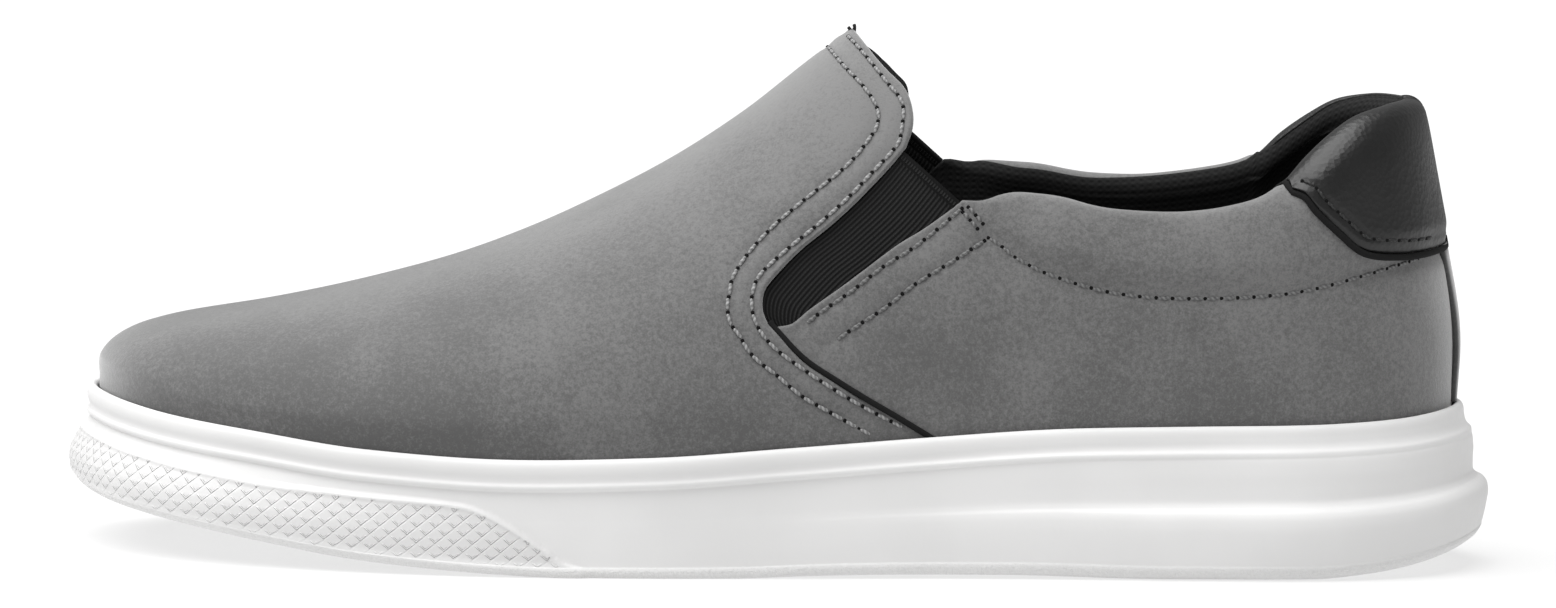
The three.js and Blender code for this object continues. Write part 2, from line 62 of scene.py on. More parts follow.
def table(columns, rows):
    return dict(zip(columns.split(), np.array(rows, float).T))


# Sections of the last; widths in ball widths, lip in lip heights, crown along the foot
sections = table("at lateral medial lip crown round", [
    (0.0, 0.0, 0.0, 1.016, 0.1, 3.2),
    (0.0077, 0.136, 0.126, 1.006, 0.104, 3.1),
    (0.028, 0.266, 0.224, 0.974, 0.112, 2.9),
    (0.061, 0.364, 0.298, 0.923, 0.126, 2.7),
    (0.115, 0.455, 0.364, 0.865, 0.152, 2.5),
    (0.2, 0.528, 0.421, 0.777, 0.21, 2.35),
    (0.3, 0.561, 0.444, 0.739, 0.3, 2.2),
    (0.4, 0.561, 0.409, 0.765, 0.4, 2.05),
    (0.5, 0.525, 0.338, 0.832, 0.5, 1.95),
    (0.6, 0.475, 0.288, 0.903, 0.6, 1.95),
    (0.7, 0.419, 0.293, 0.965, 0.695, 2.3),
    (0.79, 0.39, 0.31, 0.987, 0.775, 2.6),
    (0.874, 0.356, 0.313, 1.0, 0.83, 2.9),
    (0.936, 0.288, 0.273, 1.026, 0.862, 3.0),
    (0.975, 0.177, 0.172, 1.061, 0.88, 3.0),
    (0.994, 0.0, 0.0, 1.077, 0.887, 3.0),
])

# Centre line of the foot seen from above, in ball widths towards the inner side
centreLine = table("at aside", [
    (0.0, 0.086), (0.108, 0.076), (0.3, 0.05), (0.5, 0.055), (0.6, 0.05), (0.7, 0.025), (0.79, 0.013),
    (1.0, 0.005),
])

# Height of the closed last over the centre line, in instep heights and heel heights
crownLine = table("at instep heel", [
    (0.0, 0.394, 0.0), (0.108, 0.434, 0.0), (0.159, 0.461, 0.0), (0.21, 0.4945, 0.0), (0.262, 0.535, 0.0),
    (0.315, 0.5885, 0.0), (0.365, 0.65, 0.0), (0.416, 0.7215, 0.0), (0.4685, 0.812, 0.0), (0.52, 0.919, 0.0),
    (0.5545, 0.984, 0.0), (0.605, 1.02, 0.04), (0.657, 0.8, 0.32), (0.71, 0.4, 0.775), (0.8, 0.0, 1.21),
    (0.89, 0.0, 1.195), (1.0, 0.0, 1.175),
])

# Underside of the sole, in toe springs, arch lifts and heel lifts
groundLine = table("at toe arch heel", [
    (-0.03, 1.25, 0, 0), (0.0, 0.93, 0, 0), (0.045, 0.72, 0, 0), (0.09, 0.55, 0, 0), (0.14, 0.37, 0, 0),
    (0.19, 0.21, 0, 0), (0.24, 0.11, 0, 0), (0.29, 0.04, 0, 0), (0.34, 0, 0, 0), (0.46, 0, 0, 0),
    (0.52, 0, 0.7, 0), (0.58, 0, 1, 0), (0.66, 0, 0.9, 0), (0.76, 0, 0, 0), (0.88, 0, 0, 0),
    (0.92, 0, 0, 0.12), (0.95, 0, 0, 0.28), (0.98, 0, 0, 0.52), (1.0, 0, 0, 0.72), (1.03, 0, 0, 1),
])

# Lines seen from the side: place along the foot, and height in instep heights
throatEdge = table("at up", [
    (0.5385, 1.0), (0.55, 0.965), (0.567, 0.915), (0.58, 0.88), (0.585, 0.85), (0.5853, 0.8125),
    (0.58, 0.773),
])
flapSide = table("at up", [
    (0.58, 0.773), (0.565, 0.73), (0.5476, 0.684), (0.526, 0.634), (0.505, 0.591), (0.485, 0.5375),
    (0.479, 0.514), (0.478, 0.485), (0.4815, 0.46),
])
panelSeam = table("at up", [
    (0.4815, 0.46), (0.49, 0.4375), (0.5003, 0.41), (0.511, 0.387), (0.524, 0.366), (0.55, 0.326),
    (0.5755, 0.289), (0.6014, 0.25), (0.635, 0.2),
])
quarterEdge = table("at up", [
    (0.445, 0.37), (0.4625, 0.41), (0.4775, 0.44), (0.4875, 0.4545), (0.5003, 0.4616), (0.5133, 0.488),
    (0.537, 0.531), (0.5734, 0.6), (0.5927, 0.63), (0.612, 0.665), (0.6206, 0.684),
])
edgeStitch = table("at up", [
    (0.5425, 0.9605), (0.551, 0.938), (0.5671, 0.8884), (0.5785, 0.85), (0.5776, 0.8036), (0.5734, 0.7732),
    (0.5542, 0.7214), (0.5371, 0.6768), (0.5175, 0.633), (0.4962, 0.5893), (0.479, 0.55), (0.4724, 0.5241),
    (0.4703, 0.492), (0.4724, 0.4652), (0.4769, 0.4429), (0.4853, 0.4188), (0.4962, 0.3973), (0.5049, 0.383),
    (0.5154, 0.3652), (0.5371, 0.3321), (0.5584, 0.3027), (0.5797, 0.275), (0.5948, 0.2491),
])
innerStitch = table("at up", [
    (0.529, 0.9365), (0.5392, 0.9071), (0.5521, 0.8741), (0.5605, 0.8402), (0.5605, 0.8116), (0.5542, 0.7848),
    (0.5371, 0.7348), (0.5049, 0.6688), (0.4853, 0.6259), (0.4682, 0.5795), (0.4573, 0.5384), (0.4545, 0.508),
    (0.4531, 0.4848), (0.4552, 0.4571), (0.4619, 0.4348), (0.4682, 0.4098), (0.4769, 0.3884),
    (0.4874, 0.3696), (0.507, 0.3304), (0.5283, 0.3009), (0.5497, 0.2714), (0.5668, 0.2473),
])
goreStitch = table("at up", [
    (0.6215, 0.672), (0.6056, 0.6375), (0.5864, 0.5991), (0.5647, 0.5643), (0.5434, 0.5223), (0.522, 0.4848),
    (0.5034, 0.449),
])
secondGoreStitch = table("at up", [
    (0.6381, 0.6161), (0.6206, 0.5857), (0.6098, 0.5687), (0.5864, 0.5312), (0.5671, 0.492), (0.5455, 0.4562),
    (0.5251, 0.42),
])

goreBar = table("at up", [(0.6235, 0.67), (0.632, 0.646), (0.6405, 0.622)])

# The same, with heights in heel heights
collarEdge = table("at up", [
    (0.6206, 0.766), (0.636, 0.768), (0.651, 0.783), (0.666, 0.787), (0.693, 0.778), (0.716, 0.761),
    (0.735, 0.753), (0.769, 0.749), (0.795, 0.753), (0.817, 0.764), (0.836, 0.78), (0.85, 0.805),
    (0.865, 0.848), (0.883, 0.898), (0.9, 0.934), (0.915, 0.954), (0.934, 0.963), (0.96, 0.971), (1.05, 0.98),
])
collarStitch = table("at up", [
    (0.6402, 0.697), (0.651, 0.676), (0.6598, 0.657), (0.6706, 0.64), (0.6811, 0.626), (0.6937, 0.614),
    (0.7059, 0.603), (0.7276, 0.588), (0.7549, 0.579), (0.7794, 0.577), (0.8056, 0.578), (0.8388, 0.583),
    (0.8668, 0.593), (0.8927, 0.609), (0.9196, 0.629), (0.9476, 0.648), (0.978, 0.664), (1.03, 0.672),
])
tabEdge = table("at up", [
    (0.848, 0.815), (0.855, 0.806), (0.8664, 0.786), (0.8748, 0.753), (0.8916, 0.71), (0.906, 0.676),
    (0.919, 0.665), (0.938, 0.663), (0.957, 0.665), (1.05, 0.685),
])


def smoothStep(low, high, value):
    u = np.clip((value - low) / (high - low), 0, 1)
    return u * u * (3 - 2 * u)


def along(rows, column, at):
    # Cubic through the rows; the tangent at a row is the harmonic mean of its two slopes, so that it
    # never overshoots
    x, y = rows["at"], rows[column]
    slope = np.diff(y) / np.diff(x)
    both = slope[:-1] * slope[1:]
    middle = np.where(both > 0, 2 * both / np.where(both > 0, slope[:-1] + slope[1:], 1), 0)
    tangent = np.concatenate([slope[:1], middle, slope[-1:]])
    i = np.clip(np.searchsorted(x, at, side="right") - 1, 0, len(x) - 2)
    span = x[i + 1] - x[i]
    u = np.clip((at - x[i]) / span, 0, 1)
    rise = y[i + 1] - y[i]
    start, end = tangent[i] * span, tangent[i + 1] * span
    return y[i] + u * (start + u * (3 * rise - 2 * start - end + u * (start + end - 2 * rise)))


def around(column, s, mirror):
    # Catmull-Rom through the sections by their number; past each end the table is its own mirror image
    values = sections[column]
    steps = len(values) - 1
    padded = np.concatenate([[mirror * values[1]], values, [mirror * values[-2]]])
    i = np.clip(np.floor(s * steps).astype(int), 0, steps - 1)
    u = s * steps - i
    a, b, c, d = (padded[i + k] for k in range(4))
    return b + 0.5 * u * (c - a + u * (2 * a - 5 * b + 4 * c - d + u * (3 * (b - c) + d - a)))


def alongX(at):
    return (at - 0.5) * last["footLength"]


def placeOf(x):
    return x / last["footLength"] + 0.5


def centreAt(at):
    return along(centreLine, "aside", at) * last["ballWidth"]


def lipAt(at):
    return along(sections, "lip", at) * last["lipHeight"]


def crownAt(at):
    front = along(crownLine, "instep", at) * last["instepHeight"]
    return front + along(crownLine, "heel", at) * last["heelHeight"]


def groundAt(at):
    toe = along(groundLine, "toe", at) * last["toeSpring"]
    arch = along(groundLine, "arch", at) * last["archLift"]
    return toe + arch + along(groundLine, "heel", at) * last["heelLift"]


def planPoint(s, side, grow):
    # Outline of the upper at the lip, moved along its own outward direction; side is -1 outside, +1 inside
    s, side, grow = np.broadcast_arrays(np.asarray(s, float), side, grow)

    def plain(k):
        at = around("at", k, 1)
        width = np.where(side < 0, around("lateral", k, -1), around("medial", k, -1)) * last["ballWidth"]
        return alongX(at), centreAt(at) + side * width

    nudge = 0.002
    x0, y0 = plain(np.clip(s - nudge, 0, 1))
    x1, y1 = plain(np.clip(s + nudge, 0, 1))
    dx, dy = x1 - x0, y1 - y0
    dx = np.where((s <= 0) | (s >= 1), 0, dx)
    length = np.hypot(dx, dy)
    x, y = plain(s)
    return x - side * dy / length * grow, y + side * dx / length * grow


def leanAt(x, z):
    # The back of the heel leans towards the toe with its height
    height = z / last["heelHeight"]
    return last["heelLean"] * smoothStep(0.82, 0.97, placeOf(x)) * smoothStep(0.42, 0.92, height)


def lastPoint(s, t, side, grow=0.0):
    # t runs up a superellipse from the lip to the centre line; both of its axes are grown alike
    s, t, side, grow = np.broadcast_arrays(np.asarray(s, float), np.asarray(t, float), side, grow)
    footX, footY = planPoint(s, side, grow)
    crown = around("crown", s, 1)
    power = 2 / around("round", s, 1)
    inward = np.clip(np.cos(t * np.pi / 2), 0, 1) ** power
    upward = np.clip(np.sin(t * np.pi / 2), 0, 1) ** power
    x = alongX(crown) + (footX - alongX(crown)) * inward
    y = centreAt(crown) + (footY - centreAt(crown)) * inward
    lip = lipAt(around("at", s, 1))
    z = lip + (crownAt(placeOf(x)) + grow - lip) * upward
    return np.stack([x - leanAt(x, z), y, z], -1)


def locate(x, z, side):
    # (s, t) of the plain last under a point seen from the side: t follows from the height,
    # and s is halved down until the surface's x is the point's
    x, z, side = np.broadcast_arrays(np.asarray(x, float), np.asarray(z, float), side)
    seen = x
    for _ in range(6):
        x = seen + leanAt(x, z)
    low, high = np.zeros(x.shape), np.ones(x.shape)
    top = crownAt(placeOf(x))
    for _ in range(36):
        s = (low + high) / 2
        lip = lipAt(around("at", s, 1))
        up = np.clip((z - lip) / (top - lip), 0, 1)
        fullness = around("round", s, 1)
        inward = (1 - up ** fullness) ** (1 / fullness)
        crown = alongX(around("crown", s, 1))
        here = crown + (planPoint(s, side, 0)[0] - crown) * inward
        low, high = np.where(here < x, s, low), np.where(here < x, high, s)
    return s, np.arcsin(np.clip(up, 0, 1) ** (fullness / 2)) * 2 / np.pi


def sideCurve(rows, height, count=240):
    # Catmull-Rom through the rows, evenly by length, as x and z in millimetres
    points = np.stack([alongX(rows["at"]), rows["up"] * height], -1)
    padded = np.concatenate([2 * points[:1] - points[1:2], points, 2 * points[-1:] - points[-2:-1]])
    u = np.linspace(0, len(points) - 1, 8 * len(points))
    i = np.minimum(u.astype(int), len(points) - 2)
    u = (u - i)[:, None]
    a, b, c, d = (padded[i + k] for k in range(4))
    smooth = b + 0.5 * u * (c - a + u * (2 * a - 5 * b + 4 * c - d + u * (3 * (b - c) + d - a)))
    run = np.concatenate([[0], np.cumsum(np.hypot(*np.diff(smooth, axis=0).T))])
    even = np.linspace(0, run[-1], count)
    return np.interp(even, run, smooth[:, 0]), np.interp(even, run, smooth[:, 1])


# How much higher the edge of the upper is on the inner side
innerRise = table("at rise", [
    (0.48, 0.0), (0.55, 2.2), (0.6, 4.4), (0.625, 4.8), (0.645, 3.6), (0.665, 2.8), (0.69, 3.0), (0.72, 3.6),
    (0.76, 3.9), (0.8, 4.4), (0.83, 4.0), (0.86, 2.4), (0.9, 1.1), (1.0, 0.8),
])


def risen(x, z, side):
    # (s, t) of a line of the top edge, which climbs evenly across the shoe to its inner side
    outer = -sections["lateral"][11] * last["ballWidth"]
    width = (sections["lateral"][11] + sections["medial"][11]) * last["ballWidth"]
    rise = along(innerRise, "rise", placeOf(x))
    s, t = locate(x, z, side)
    for _ in range(3):
        y = lastPoint(s, t, side)[..., 1]
        s, t = locate(x, z + rise * np.clip((y - outer) / width, 0, 1.2), side)
    return s, t


def shifted(line, distance):
    # A side-view line moved square to its run
    x, z = line
    dx, dz = np.gradient(x), np.gradient(z)
    length = np.hypot(dx, dz)
    return x - dz / length * distance, z + dx / length * distance


quarter = {
    "puff": 1.6,
    "roundIn": 2.6,         # the padded collar leans in this far over its last millimetres
    "roundReach": 14.0,
    "collarRadius": 3.0,    # half the thickness of the padded collar
    "edgeRadius": 0.7,      # half the thickness of the leather along the gore
    "front": 0.435,         # it goes on this far under the front panel, as a place round the foot
    "columns": 230,
    "rows": 60,
    "goreDepth": 0.3,       # depth and width of the troughs that its seams pull into the leather
    "goreWidth": 1.2,
    "collarDepth": 0.6,
    "collarWidth": 2.0,
}
tab = {
    "thickness": 1.1,
    "front": 100.0,         # x where its front edge meets the collar
    "roundIn": 1.6,         # the collar leans in this much more under it
    "roundReach": 9.0,
    "crest": 1.5,           # angle over the collar's round top at which it ends
    "outerTip": 0.5,        # its front corners are skived to these shares of its thickness
    "innerTip": 0.15,
    "columns": 220,
    "rows": 70,
    "stitchDepth": 0.3,
    "stitchWidth": 1.1,
    "stitchIn": 2.4,        # its seam runs this far inside its edge
    "bindingBelow": 0.006,
    "bindingRadius": 0.7,
}

# Seams and edges that several pieces share, as side-view lines
seamLines = {
    "edgeStitch": sideCurve(edgeStitch, last["instepHeight"]),
    "innerStitch": sideCurve(innerStitch, last["instepHeight"]),
    "goreStitch": sideCurve(goreStitch, last["instepHeight"]),
    "secondGoreStitch": sideCurve(secondGoreStitch, last["instepHeight"]),
    "collarStitch": sideCurve(collarStitch, last["heelHeight"]),
    "collarEdge": sideCurve(collarEdge, last["heelHeight"]),
    "tabStitch": shifted(sideCurve(tabEdge, last["heelHeight"]), tab["stitchIn"]),
}


def seamTrough(x, z, line, depth, width):
    # A soft valley: depth times a bell of the distance, seen from the side, to the seam
    lineX, lineZ = seamLines[line]
    lineX, lineZ = lineX[::2], lineZ[::2]
    away = np.full(x.shape, 1e9)
    near = (x > lineX.min() - 4 * width) & (x < lineX.max() + 4 * width)
    gap = (x[near][:, None] - lineX) ** 2 + (z[near][:, None] - lineZ) ** 2
    away[near] = gap.min(axis=1)
    return -depth * np.exp(-away / width ** 2)


def roundingIn(at, below):
    # How far the collar leans in at a distance below its edge, more so under the front of the heel tab
    near = np.clip(1 - below / quarter["roundReach"], 0, 1)
    tight = np.clip(1 - below / tab["roundReach"], 0, 1)
    soft = quarter["roundIn"] * near ** 2 * smoothStep(0.635, 0.68, at) * smoothStep(0.985, 0.88, at)
    return soft + tab["roundIn"] * tight ** 2 * smoothStep(0.845, 0.87, at) * smoothStep(0.98, 0.9, at)


def swell(plain):
    # Bulge of the heel, puff of the padded collar above its stitch line, and its rounding off to the edge
    x, z = plain[..., 0], plain[..., 2]
    at = placeOf(x)
    inner = plain[..., 1] > centreAt(at)
    top = np.interp(x, *seamLines["collarEdge"]) + along(innerRise, "rise", at) * inner
    level = (z / last["heelHeight"] - 0.49) / 0.13
    bulge = last["heelSwell"] * smoothStep(0.86, 0.98, at) * np.exp(-level ** 2)
    above = z - np.interp(x, *seamLines["collarStitch"])
    padded = smoothStep(0.63, 0.69, at) * (1 - 0.7 * smoothStep(0.93, 0.98, at))
    return bulge + quarter["puff"] * padded * smoothStep(0, 6, above) - roundingIn(at, top - z)


def normalise(v):
    return v / np.maximum(np.linalg.norm(v, axis=-1, keepdims=True), 1e-9)


def meshPiece(name, points, material, node=None, wrapRows=False, wrapColumns=False,
              caps=False, flow=None):
    # A grid of points (columns, rows, xyz) becomes one closed skin: each wrap joins the last row or column
    # to the first, and caps joins row j to its mirror row at both ends
    columns, rows = points.shape[:2]
    index = np.arange(columns * rows).reshape(columns, rows)
    if wrapRows:
        index = np.concatenate([index, index[:, :1]], axis=1)
    if wrapColumns:
        index = np.concatenate([index, index[:1]], axis=0)
    quads = np.stack([index[:-1, :-1], index[1:, :-1], index[1:, 1:], index[:-1, 1:]], -1).reshape(-1, 4)
    if caps:
        half = rows // 2
        j = np.arange(half - 1)
        first = np.stack([index[0, j], index[0, j + 1], index[0, rows - 2 - j], index[0, rows - 1 - j]], -1)
        end = np.stack([index[-1, j + 1], index[-1, j], index[-1, rows - 1 - j], index[-1, rows - 2 - j]], -1)
        quads = np.concatenate([quads, first, end])
    return meshFrom(name, points.reshape(-1, 3), quads, material, node,
                    None if flow is None else flow.reshape(-1, flow.shape[-1]))


def meshFrom(name, vertices, faces, material, node=None, flow=None):
    # Equal points are welded, and the faces are turned outwards by the sign of the volume that they enclose
    corners = np.unique(np.round(vertices, 4), axis=0, return_index=True, return_inverse=True)
    kept, back = corners[1], corners[2].reshape(-1)
    vertices = vertices[kept]
    faces = back[faces]
    halves = (vertices[faces[:, [0, 1, 2]]], vertices[faces[:, [0, 2, 3]]])
    volume = sum(np.einsum("ij,ij->", half[:, 0], np.cross(half[:, 1], half[:, 2])) for half in halves)
    if volume < 0:
        faces = faces[:, ::-1]
    mesh = bpy.data.meshes.new(name)
    mesh.from_pydata(((vertices + frameShift) * millimetre).tolist(), [], faces.tolist())
    if flow is not None:
        layer = mesh.attributes.new("flow", "FLOAT_VECTOR", "POINT")
        values = np.zeros((len(kept), 3))
        values[:, :flow.shape[-1]] = flow[kept]
        layer.data.foreach_set("vector", values.ravel())
    mesh.polygons.foreach_set("use_smooth", [True] * len(mesh.polygons))
    mesh.materials.append(material)
    mesh.update()
    piece = bpy.data.objects.new(name, mesh)
    bpy.context.scene.collection.objects.link(piece)
    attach(piece, "root")
    if node:
        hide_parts(node)
    return piece


def flowOf(points):
    # Lengths along the columns and along the rows, which patterns on a piece follow
    acrossStep = np.linalg.norm(np.diff(points, axis=0), axis=-1).mean(axis=1)
    upStep = np.linalg.norm(np.diff(points, axis=1), axis=-1)
    u = np.concatenate([[0], np.cumsum(acrossStep)])[:, None] + np.zeros(points.shape[:2])
    v = np.concatenate([np.zeros((points.shape[0], 1)), np.cumsum(upStep, axis=1)], axis=1)
    return np.stack([u, v], -1)


# Shader maths: a socket whose operators add Math nodes
class Value:
    def __init__(self, tree, socket):
        self.tree, self.socket = tree, socket

    def maths(self, operation, *others):
        node = self.tree.nodes.new("ShaderNodeMath")
        node.operation = operation
        for place, item in enumerate((self, *others)):
            plug(self.tree, node.inputs[place], item)
        return Value(self.tree, node.outputs[0])

    def __add__(self, other):
        return self.maths("ADD", other)

    def __sub__(self, other):
        return self.maths("SUBTRACT", other)

    def __rsub__(self, other):
        return self * -1 + other

    def __mul__(self, other):
        return self.maths("MULTIPLY", other)

    __radd__ = __add__
    __rmul__ = __mul__


def plug(tree, socket, item):
    if isinstance(item, Value):
        tree.links.new(item.socket, socket)
    else:
        socket.default_value = item


class Finish:
    # One material: add() makes a node from its type, its settings and the values or links of its sockets
    def __init__(self, name, **sockets):
        self.material = bpy.data.materials.new(name)
        self.material.use_nodes = True
        self.tree = self.material.node_tree
        self.shader = self.tree.nodes["Principled BSDF"]
        self.set(**sockets)
        self.place = self.add("ShaderNodeTexCoord", out="Object")

    def set(self, **sockets):
        for name, item in sockets.items():
            plug(self.tree, self.shader.inputs[name.replace("_", " ")], item)

    def add(self, kind, settings=None, out=0, **sockets):
        node = self.tree.nodes.new(kind)
        for name, item in (settings or {}).items():
            setattr(node, name, item)
        for name, item in sockets.items():
            key = int(name[1:]) if name[0] == "i" and name[1:].isdigit() else name.replace("_", " ")
            plug(self.tree, node.inputs[key], item)
        return Value(self.tree, node.outputs[out])

    def noise(self, scale, detail=3.0, roughness=0.5, where=None):
        return self.add("ShaderNodeTexNoise", Vector=where or self.place, Scale=scale, Detail=detail,
                        Roughness=roughness)

    def range(self, value, low, high, toLow=0.0, toHigh=1.0, smooth=True):
        settings = {"interpolation_type": "SMOOTHSTEP" if smooth else "LINEAR"}
        return self.add("ShaderNodeMapRange", settings, i0=value, i1=low, i2=high, i3=toLow, i4=toHigh)

    def mix(self, share, first, second):
        return self.add("ShaderNodeMix", {"data_type": "RGBA"}, out=2, i0=share, i6=first, i7=second)

    def parts(self, vector):
        node = self.tree.nodes.new("ShaderNodeSeparateXYZ")
        plug(self.tree, node.inputs[0], vector)
        return [Value(self.tree, node.outputs[k]) for k in range(3)]

    def attribute(self, name):
        return self.add("ShaderNodeAttribute", {"attribute_name": name}, out="Vector")

    def bump(self, height, strength, distance, below=None):
        sockets = {"Height": height, "Strength": strength, "Distance": distance}
        if below:
            sockets["Normal"] = below
        return self.add("ShaderNodeBump", None, **sockets)


def wave(turns):
    # Sine of whole turns, from 0 to 1
    return (turns * (2 * np.pi)).maths("SINE") * 0.5 + 0.5


def grey(value, tint=0.0):
    return (value * (1 + tint), value, value * (1 - tint), 1.0)


def nubuckFinish(name, light, dark):
    # Brushed leather: soft clouds of lighter and darker nap, a fine grain, and painted top light: paler
    # higher up, as if lit from above
    f = Finish(name, Specular_IOR_Level=0.25, Sheen_Weight=0.7, Sheen_Roughness=0.45)
    clouds = f.noise(36.0, 4.0, 0.55)
    nap = f.noise(1000.0, 4.0, 0.7)
    grain = f.noise(2800.0, 2.0, 0.5)
    # painted light: the colour gets paler with height, standing in for the light from above
    height = f.range(f.parts(f.place)[2], 0.03, 0.1, -0.05, 0.07, False)
    tone = f.range(clouds * 0.3 + nap * 0.45 + grain * 0.25 + height, 0.37, 0.63)
    f.set(Base_Color=f.mix(tone, grey(dark, 0.004), grey(light, 0.004)))
    f.set(Roughness=f.range(nap, 0.3, 0.7, 0.74, 0.88))
    coarse = f.bump(nap, 0.12, 0.0006)
    f.set(Normal=f.bump(grain, 0.25, 0.00015, coarse))
    return f.material


def smoothLeatherFinish():
    # Black leather with a small pebbled grain and faint duller patches
    f = Finish("heelTabLeather", Specular_IOR_Level=0.5)
    grain = f.add("ShaderNodeTexVoronoi", None, Vector=f.place, Scale=900.0)
    clouds = f.noise(60.0)
    f.set(Base_Color=f.mix(f.range(clouds, 0.35, 0.65), grey(0.003), grey(0.005)))
    f.set(Roughness=f.range(clouds, 0.3, 0.7, 0.4, 0.52))
    f.set(Normal=f.bump(grain, 0.3, 0.0003))
    return f.material


def elasticFinish():
    # Ribs run along the gore, and a knitted band with a selvedge line ends it; flow y counts across it,
    # flow x along it from the band's edge
    f = Finish("goreElastic", Roughness=0.75, Specular_IOR_Level=0.12)
    alongIt, acrossIt, _ = f.parts(f.attribute("flow"))
    rib = wave(acrossIt * (1 / gore["ribPitch"]))
    pick = wave(alongIt * (1 / gore["pickPitch"]))
    band = f.range(alongIt, gore["bandWidth"], gore["bandWidth"] - 0.15)
    selvedge = f.range((alongIt - gore["bandWidth"] * 0.55).maths("ABSOLUTE"), 0.55, 0.35)
    knit = wave(acrossIt * (1 / gore["knitPitch"]))
    ribs = (rib * 0.8 + rib * pick * 0.2) * (1 - band) + band * selvedge * knit * 0.9
    weave = ribs + f.noise(1500.0, 2.0) * 0.12
    f.set(Base_Color=f.mix(weave, grey(0.002), grey(0.018)))
    f.set(Normal=f.bump(weave, 0.9, 0.0003))
    return f.material


def meshFinish(name, dark, light):
    # Padded lining: rows of small open loops that run level round the collar
    f = Finish(name, Roughness=0.9, Specular_IOR_Level=0.1)
    alongIt, acrossIt, _ = f.parts(f.attribute("flow"))
    row = (acrossIt * (2 * np.pi / lining["rowPitch"])).maths("SINE")
    loop = (alongIt * (2 * np.pi / lining["loopPitch"])).maths("SINE")
    stray = f.noise(1400.0, 3.0, 0.7)
    weave = row * 0.12 + row * loop * 0.16 + stray * 0.6 + 0.2
    f.set(Base_Color=f.mix(weave, grey(dark), grey(light)))
    f.set(Normal=f.bump(weave, 0.5, 0.0003))
    return f.material


def rubberFinish():
    # White moulded rubber, slightly warm, with faint clouds, a dusty underside and painted shade in its
    # diamond cells
    f = Finish("soleRubber")
    clouds = f.noise(30.0, 3.0)
    fine = f.noise(900.0, 2.0)
    height = f.parts(f.place)[2]
    tone = f.mix(f.range(clouds, 0.3, 0.7), grey(0.71, 0.004), grey(0.75, 0.004))
    dust = f.range(height, 0.0, 0.0025, 0.25, 0.0) * f.range(clouds, 0.4, 0.6)
    f.set(Roughness=f.range(fine, 0.3, 0.7, 0.42, 0.55))
    # Slanted cells with a raised lip along their two lower edges and a shallow groove between them;
    # they shrink where the net fades
    arc, level, kind = f.parts(f.attribute("flow"))
    first = (arc * (1 / sole["diamondWidth"]) + level * (1 / sole["diamondHeight"])).maths("FRACT") - 0.5
    second = (arc * (1 / sole["diamondWidth"]) - level * (1 / sole["diamondHeight"])).maths("FRACT") - 0.5
    reach = first.maths("ABSOLUTE").maths("MAXIMUM", second.maths("ABSOLUTE")) + (1 - kind) * 0.12
    netted = f.range(kind, 0.05, 0.6)
    lower = f.range(first - second, -0.05, -0.45)
    lips = f.range(reach, 0.28, 0.36) * f.range(reach, 0.47, 0.41) * lower * netted
    groove = f.range(first.maths("ABSOLUTE"), 0.4, 0.5) * netted
    # painted shade: the cells' insides and the grooves between them are greyed, and the lips stay light as if
    # lit from above
    paintedCellShade = netted * (1 - lips) * 0.35 + groove * 0.15
    lumps = f.noise(1100.0, 3.0, 0.6) * f.range(kind, 0.0, -1.0, 0.0, 1.0, False)
    pitted = f.bump(lips - groove * 0.2, 1.0, sole["diamondDepth"])
    rough = f.bump(lumps, 0.6, 0.0008, pitted)
    f.set(Normal=f.bump(fine, 0.08, 0.0002, rough))
    f.set(Base_Color=f.mix(dust, f.mix(paintedCellShade, tone, grey(0.55, 0.004)), grey(0.5, 0.02)))
    return f.material


def plainFinish(name, value, roughness):
    # Dull cloth or wax: one grey with a fine grain
    f = Finish(name, Roughness=roughness, Specular_IOR_Level=0.15)
    grain = f.noise(1500.0, 2.0)
    f.set(Base_Color=f.mix(grain, grey(value * 0.75), grey(value * 1.25)))
    f.set(Normal=f.bump(grain, 0.4, 0.0002))
    return f.material


def threadFinish(name, value):
    # Two plies wound round the thread: flow x counts its turns along it, flow y goes round it
    f = Finish(name, Roughness=0.6)
    alongIt, roundIt, _ = f.parts(f.attribute("flow"))
    ply = wave(alongIt + roundIt)
    f.set(Base_Color=f.mix(ply, grey(value * 0.6), grey(value * 1.3)))
    f.set(Normal=f.bump(ply, 0.6, 0.0002))
    return f.material


sole = {
    "bandWidth": 2.5,
    "bandHeight": 5.6,
    "toeBumper": 3.4,
    "heelRib": 5.4,
    "cupDepth": 11.0,
    "clearance": 0.3,
    "treadMargin": 7.0,
    "treadRecess": 2.4,
    "diamondWidth": 3.8,
    "diamondHeight": 3.2,
    "diamondDepth": 0.0004,
    "netSink": 0.25,
    "guardStep": 0.8,
    "toeColumns": 680,
    "sideColumns": 250,
}

